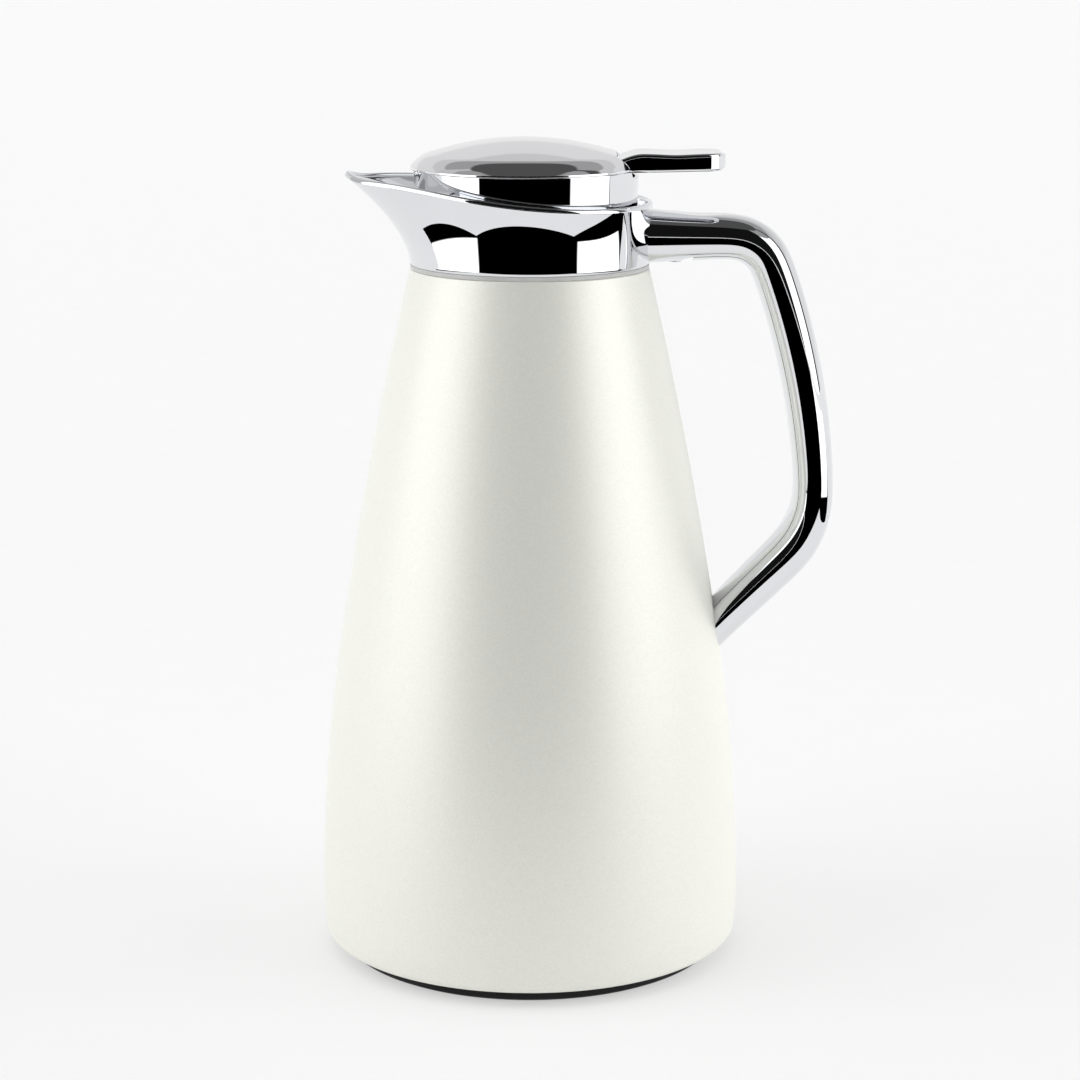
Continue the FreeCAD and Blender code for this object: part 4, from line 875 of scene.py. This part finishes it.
class JUG_OT_lever(Operator):
    """Thumb lever: waved plate, hub and the fork under the dome"""
    bl_idname = "jug.lever"
    bl_label = "Thumb lever"

    def execute(self, context):
        dress(tube_piece("lever_plate", self.plate()), "lever", "chrome_plate", "thumb_lever")
        dress(tube_piece("lever_hub", self.hub()), "lever", "inner_plastic")
        dress(tube_piece("lever_fork_left", self.finger(1)), "lever", "inner_plastic")
        dress(tube_piece("lever_fork_right", self.finger(-1)), "lever", "inner_plastic")
        return {"FINISHED"}

    def plate(self):
        """Rounded oblong sections along X, between a waved top and a flat underside.

        The top rises over the root as a quarter sine, dips as a bell in the middle and both
        faces draw in at the tip; the width closes at the tip as a superellipse.
        """
        tip, top = LEVER_HIGH[0], LEVER_HIGH[2]
        root, round_off = 0.0300, 0.0096
        start = tip - round_off
        turn = np.linspace(0.0, math.pi / 2, 22)
        along = np.concatenate([np.linspace(root, start, 60)[:-1],
                                start + 0.998 * round_off * np.sin(turn)])[:, None]
        end = np.clip((along - start) / round_off, 0.0, 1.0)
        close = (1 - end ** 2.3) ** (1 / 2.3)
        rise = 0.0028 * (1 - np.sin(np.clip((along - root) / 0.010, 0, 1) * math.pi / 2))
        dip = 0.0004 * np.exp(-((along - 0.0510) / 0.0065) ** 2)
        draw = 0.0009 * smoothstep(along, tip - 0.0022, tip)
        upper = top - rise - dip - draw
        lower = 0.2843 + 0.0004 * smoothstep(along, 0.040, 0.065) + draw
        lower = lower - 0.0007 * (1 - smoothstep(along, root, 0.0390))
        half_width = sizes().lever_width / 2 - round_off + round_off * close
        half_width = half_width - 0.35 * (half_width - 0.004) * end ** 10
        return self.oblongs(along, half_width, lower, upper, 0.0011)

    def oblongs(self, along, half_width, lower, upper, radius):
        """Rounded oblongs at places along X, all with the same corner radius.

        A corner is a quarter turn round its own centre, with one more point on the flat at each
        side of it.
        """
        turn = np.linspace(0.0, math.pi / 2, 8)
        flat = 0.9
        over, up, over_side, up_side = [], [], [], []
        for quarter, (side, lift) in enumerate(((1, 1), (-1, 1), (-1, -1), (1, -1))):
            angle = turn + quarter * math.pi / 2
            for place in (angle[:1], angle, angle[-1:]):
                over.append(np.cos(place))
                up.append(np.sin(place))
                over_side.append(np.full(len(place), side))
                up_side.append(np.full(len(place), lift))
            first, last = (over_side, up_side) if quarter % 2 else (up_side, over_side)
            first[-3] = first[-3] * flat
            last[-1] = last[-1] * flat
        over, up = np.concatenate(over)[None], np.concatenate(up)[None]
        over_side, up_side = np.concatenate(over_side)[None], np.concatenate(up_side)[None]
        middle, half = (upper + lower) / 2, (upper - lower) / 2
        across = over_side * (half_width - radius) + radius * over
        height = middle + up_side * (half - radius) + radius * up
        places = np.broadcast_to(along, across.shape)
        return np.stack([places, across, height], axis=2)

    def hub(self):
        """A drum round the pin that widens up into the plate, as one rounded outline."""
        pivot_x = (PIN_LOW[0] + PIN_HIGH[0]) / 2
        pivot_z = (PIN_LOW[2] + PIN_HIGH[2]) / 2
        front, rear = pivot_x - 0.0026, pivot_x + 0.0026
        low = arc((front, pivot_z), (rear, pivot_z), 0.00261, 1, 24)
        outline = np.concatenate([low, [[rear, pivot_z], [rear, 0.2852],
                                        [pivot_x - 0.0004, 0.2852], [front, 0.2836]]])
        return self.across_outline(outline, 0.0067)

    def finger(self, side):
        """One finger of the fork: a rounded bar from the hub to just past the stem."""
        low, high = 0.2812, 0.2836
        tip, root = LEVER_LOW[0], 0.0320
        outline = rounded([(tip, low, 0.0011), (root, low, 0.0003), (root, high, 0.0003),
                           (tip, high, 0.0011)])
        grid = self.across_outline(outline, 0.00195)
        grid[:, :, 1] += side * 0.00455
        return grid

    def across_outline(self, outline, half_width):
        """Carries a side outline across Y, drawn in a little at both faces."""
        centre = outline.mean(axis=0)
        places = np.array([-1.0, -0.97, -0.88, 0.88, 0.97, 1.0]) * half_width
        shrink = np.array([0.93, 0.985, 1.0, 1.0, 0.985, 0.93])[:, None]
        across = centre[0] + (outline[None, :, 0] - centre[0]) * shrink
        up = centre[1] + (outline[None, :, 1] - centre[1]) * shrink
        over = np.broadcast_to(places[:, None], across.shape)
        return np.stack([across, over, up], axis=2)


# ---------------------------------------------------------------- inside

class JUG_OT_spring(Operator):
    """Valve spring: a round wire on a helix with flat end turns"""
    bl_idname = "jug.spring"
    bl_label = "Valve spring"

    def execute(self, context):
        piece = tube_piece("valve_spring_wire", self.coil())
        dress(piece, "closure", "plain_steel", "valve_spring")
        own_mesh(piece)
        return {"FINISHED"}

    def coil(self):
        """A round wire along a helix whose first and last turns lie almost flat."""
        turns = sizes().spring_turns
        wire = 0.0005
        middle = SPRING_HIGH[0] - wire
        steps = turns * 28
        part = np.linspace(0.0, 1.0, steps + 1)
        flat = 0.9 / turns
        climb = smoothstep(part, -flat, flat) + smoothstep(part, 1 - flat, 1 + flat) - 0.5
        climb = np.cumsum(np.minimum(climb, 1.0) * (part > 0.5 * flat) + 0.15)
        climb = (climb - climb[0]) / (climb[-1] - climb[0])
        low, high = SPRING_LOW[2] + wire, SPRING_HIGH[2] - wire
        angle = 2 * math.pi * turns * part
        path = np.stack([middle * np.cos(angle), middle * np.sin(angle),
                         low + (high - low) * climb], axis=1)
        outward = np.stack([np.cos(angle), np.sin(angle), np.zeros_like(angle)], axis=1)
        ahead = np.gradient(path, axis=0)
        ahead /= np.linalg.norm(ahead, axis=1, keepdims=True)
        upward = np.cross(ahead, outward)
        around = np.linspace(0.0, 2 * math.pi, 12, endpoint=False)[None, :, None]
        return (path[:, None] + wire * (np.cos(around) * outward[:, None]
                                        + np.sin(around) * upward[:, None]))


class JUG_OT_insides(Operator):
    """Finishes of the carried-over pieces: liner, seals, stopper, valve and fasteners"""
    bl_idname = "jug.insides"
    bl_label = "Inner pieces"

    NODE_SLOTS = {
        "base_black": ("base_cap",),
        "foot_rubber": ("liner_cushion",),
        "silvered_glass": ("liner_inner_bottle", "liner_outer_bottle"),
        "seal_silicone": ("neck_gasket", "stopper_seal", "valve_seal"),
        "inner_plastic": ("clamp_ring", "collar_insert", "stopper_body", "stem_guide",
                          "lever_chassis", "valve_disc"),
        "plain_steel": ("collar_screws", "handle_top_screw", "handle_lower_screw",
                        "handle_bracket", "lid_screws", "lever_pin", "valve_stem",
                        "stem_clip"),
    }

    def execute(self, context):
        for slot, nodes in self.NODE_SLOTS.items():
            for node in nodes:
                dress_node(node, slot)
        return {"FINISHED"}


# ---------------------------------------------------------------- studio

class JUG_OT_studio(Operator):
    """Pale floor, dark flag, even lamps, the surrounding light and the camera"""
    bl_idname = "jug.studio"
    bl_label = "Studio"

    CAMERA_PLACE = (0.00364, -1.0314, 0.3758)
    CAMERA_PITCH = math.radians(12.296)
    CAMERA_LENS = 97.3
    LIGHT_LEVEL = 1.9
    LAMPS = (("studio_key", 1.66, 70, (10, -12, 0)),
             ("studio_fill_right", 1.4, 60, (0, 75, 12)),
             ("studio_fill_left", 0.3, 60, (0, -75, -12)))
    TABLE = (-0.60, 0.46, -0.52, 0.15)
    PAINTED_SIDE_GLOW = ((-100, 0.0), (-99, 1.0), (-49, 1.0), (-48, 0.0), (45, 0.0), (46, 1.0),
                   (93, 1.0), (94, 0.0))
    RINGS = tuple(
        (((-180, back), (-118, back), (-116, 0.30), (-100, 0.30), (-99, box), (-49, box),
          (-48, 0.004), (45, 0.004), (46, box), (94, box), (95, 0.04), (106, 0.04),
          (108, back), (180, back)), start, end)
        for back, box, start, end in ((0.46, 1.0, 0, 0), (0.40, 1.0, 14, 18),
                                      (0.33, 1.0, 33, 34.5), (0.19, 0.19, 43, 44.5))
    ) + ((((-180, 0.045), (180, 0.045)), 60, 61.5),)

    def execute(self, context):
        self.floor()
        self.flag()
        for name, level, spread, tilt in self.LAMPS:
            self.lamp(name, level, spread, tilt)
        self.surround(context.scene)
        self.camera(context.scene)
        context.scene.view_settings.view_transform = "Standard"
        return {"FINISHED"}

    def cards(self, name, height, *spans):
        """Flat rectangles that face up, each from its low corner to its high corner."""
        points, faces = [], []
        for low, high in spans:
            first = len(points)
            points += [(low[0], low[1], height), (high[0], low[1], height),
                       (high[0], high[1], height), (low[0], high[1], height)]
            faces.append(tuple(range(first, first + 4)))
        mesh = bpy.data.meshes.new(name)
        mesh.from_pydata(points, [], faces)
        thing = bpy.data.objects.new(name, mesh)
        bpy.context.scene.collection.objects.link(thing)
        return thing

    def floor(self):
        """A wide pale sweep."""
        thing = self.cards("studio_floor", 0.0, ((-30.0, -30.0), (30.0, 30.0)))
        finish = Finish("studio_paper", (0.36, 0.36, 0.36), 0.0, 0.9,
                        Emission_Color=(1.0, 1.0, 1.0, 1.0), Emission_Strength=0.51)
        finish.vary_roughness(finish.noise(40.0, 3.0), 0.85, 0.95)
        thing.data.materials.append(finish.material)

    def flag(self):
        """What the plating sees past the table's front and side edges.

        It is painted shade; a short way off it glows with painted light of the side lights.
        Only reflections see it.
        """
        left, right, front, side = self.TABLE
        thing = self.cards("studio_flag", 0.002, ((-6.0, -8.0), (6.0, front)),
                           ((-6.0, front), (left, side)), ((right, front), (6.0, side)))
        # Painted shade: a black card for the floor past the table lying in shade, seen only in
        # reflections.
        finish = Finish("studio_flag", (0.0, 0.0, 0.0), 0.0, 1.0, Specular_IOR_Level=0.0)
        split = finish.add("ShaderNodeSeparateXYZ")
        finish.join(finish.place, split.inputs[0])
        around = self.bearing(finish.tree, split)
        # Painted light: the side lights' glow is emission on the card, not light falling on it.
        lights = self.ramp(finish.tree, self.PAINTED_SIDE_GLOW, 360)
        finish.join(around, lights.inputs["Fac"])
        distance = finish.add("ShaderNodeVectorMath", operation="LENGTH")
        finish.join(finish.place, distance.inputs[0])
        reach = finish.spread(distance.outputs["Value"], 0.0, self.LIGHT_LEVEL, 0.83, 0.86)
        finish.join(lights.outputs["Color"], finish.shader.inputs["Emission Color"])
        finish.join(reach, finish.shader.inputs["Emission Strength"])
        thing.data.materials.append(finish.material)
        for ray in ("camera", "diffuse", "shadow", "transmission"):
            setattr(thing, "visible_" + ray, False)

    def lamp(self, name, level, spread, tilt):
        """An even light from far off, which doesn't show in reflections."""
        lamp = bpy.data.lights.new(name, "SUN")
        lamp.energy = level
        lamp.angle = math.radians(spread)
        thing = bpy.data.objects.new(name, lamp)
        thing.rotation_euler = [math.radians(angle) for angle in tilt]
        thing.visible_glossy = False
        thing.visible_camera = False
        bpy.context.scene.collection.objects.link(thing)

    def surround(self, scene):
        """Light from all round, by direction: dark ahead, a soft box each side, grey behind."""
        world = bpy.data.worlds.new("studio_surround")
        scene.world = world
        world.use_nodes = True
        tree = world.node_tree
        join = tree.links.new
        place = add_node(tree, "ShaderNodeTexCoord")
        split = add_node(tree, "ShaderNodeSeparateXYZ")
        join(place.outputs["Generated"], split.inputs[0])
        around = self.bearing(tree, split)
        climb = add_node(tree, "ShaderNodeMath", operation="ARCSINE")
        join(split.outputs["Z"], climb.inputs[0])
        up = add_node(tree, "ShaderNodeMapRange", From_Min=-math.pi / 2, From_Max=math.pi / 2)
        join(climb.outputs[0], up.inputs["Value"])
        colour_below = None
        for stops, low, high in self.RINGS:
            ring = self.ramp(tree, stops, 360)
            join(around, ring.inputs["Fac"])
            if colour_below is None:
                colour_below = ring.outputs["Color"]
                continue
            step = self.ramp(tree, ((low, 0.0), (high, 1.0)), 180)
            join(up.outputs["Result"], step.inputs["Fac"])
            mix = add_node(tree, "ShaderNodeMix", data_type="RGBA")
            join(step.outputs["Color"], mix.inputs[0])
            join(colour_below, mix.inputs[6])
            join(ring.outputs["Color"], mix.inputs[7])
            colour_below = mix.outputs[2]
        background = tree.nodes["Background"]
        join(colour_below, background.inputs["Color"])
        background.inputs["Strength"].default_value = self.LIGHT_LEVEL

    def bearing(self, tree, split):
        """Angle round from straight ahead, as 0 to 1 with 0.5 ahead and more to the right."""
        flip = add_node(tree, "ShaderNodeMath", operation="MULTIPLY")
        flip.inputs[1].default_value = -1.0
        tree.links.new(split.outputs["Y"], flip.inputs[0])
        angle = add_node(tree, "ShaderNodeMath", operation="ARCTAN2")
        tree.links.new(split.outputs["X"], angle.inputs[0])
        tree.links.new(flip.outputs[0], angle.inputs[1])
        whole = add_node(tree, "ShaderNodeMapRange", From_Min=-math.pi, From_Max=math.pi)
        tree.links.new(angle.outputs[0], whole.inputs["Value"])
        return whole.outputs["Result"]

    def ramp(self, tree, stops, span):
        """A colour ramp through grey stops in degrees, over this many degrees round zero."""
        ramp = add_node(tree, "ShaderNodeValToRGB")
        elements = ramp.color_ramp.elements
        while len(elements) < len(stops):
            elements.new(0.5)
        for element, (degrees, _) in zip(elements, stops):
            element.position = degrees / span + 0.5
        for element, (_, level) in zip(elements, stops):
            element.color = (level, level, level, 1.0)
        return ramp

    def camera(self, scene):
        """A level camera in front, above the jug and pitched down."""
        lens = bpy.data.cameras.new("camera")
        lens.lens = self.CAMERA_LENS
        lens.sensor_width = 36.0
        lens.clip_end = 100.0
        thing = bpy.data.objects.new("camera", lens)
        thing.location = self.CAMERA_PLACE
        thing.rotation_euler = (math.pi / 2 - self.CAMERA_PITCH, 0.0, 0.0)
        scene.collection.objects.link(thing)
        scene.camera = thing


# ---------------------------------------------------------------- add-on

OPERATORS = (JUG_OT_studio, JUG_OT_casing, JUG_OT_base, JUG_OT_collar, JUG_OT_handle,
             JUG_OT_skirt, JUG_OT_dome, JUG_OT_lever, JUG_OT_spring, JUG_OT_insides)


class JUG_PT_panel(Panel):
    """Sizes, finishes and pieces of the jug"""
    bl_label = "Vacuum Jug"
    bl_idname = "JUG_PT_panel"
    bl_space_type = "VIEW_3D"
    bl_region_type = "UI"
    bl_category = "Jug"

    def draw(self, context):
        for group in (context.scene.jug_sizes, context.scene.jug_finishes):
            box = self.layout.box()
            for name in group.__annotations__:
                box.prop(group, name)
        for operator in OPERATORS:
            self.layout.operator(operator.bl_idname)


CLASSES = (JugSizes, JugFinishes) + OPERATORS + (JUG_PT_panel,)


def register():
    """Registers the classes and the scene's settings."""
    for kind in CLASSES:
        bpy.utils.register_class(kind)
    bpy.types.Scene.jug_sizes = PointerProperty(type=JugSizes)
    bpy.types.Scene.jug_finishes = PointerProperty(type=JugFinishes)


def unregister():
    """Takes the settings and the classes away again."""
    del bpy.types.Scene.jug_finishes
    del bpy.types.Scene.jug_sizes
    for kind in reversed(CLASSES):
        bpy.utils.unregister_class(kind)


def plain(box):
    """A box as plain lists of numbers."""
    return [[float(number) for number in corner] for corner in box]


def main():
    """Builds the whole jug."""
    register()
    bpy.ops.jug.studio()
    bpy.ops.jug.casing()
    bpy.ops.jug.base()
    bpy.ops.jug.collar()
    bpy.ops.jug.handle()
    bpy.ops.jug.skirt()
    bpy.ops.jug.dome()
    bpy.ops.jug.lever()
    bpy.ops.jug.spring()
    bpy.ops.jug.insides()


if __name__ == "__main__":
    main()
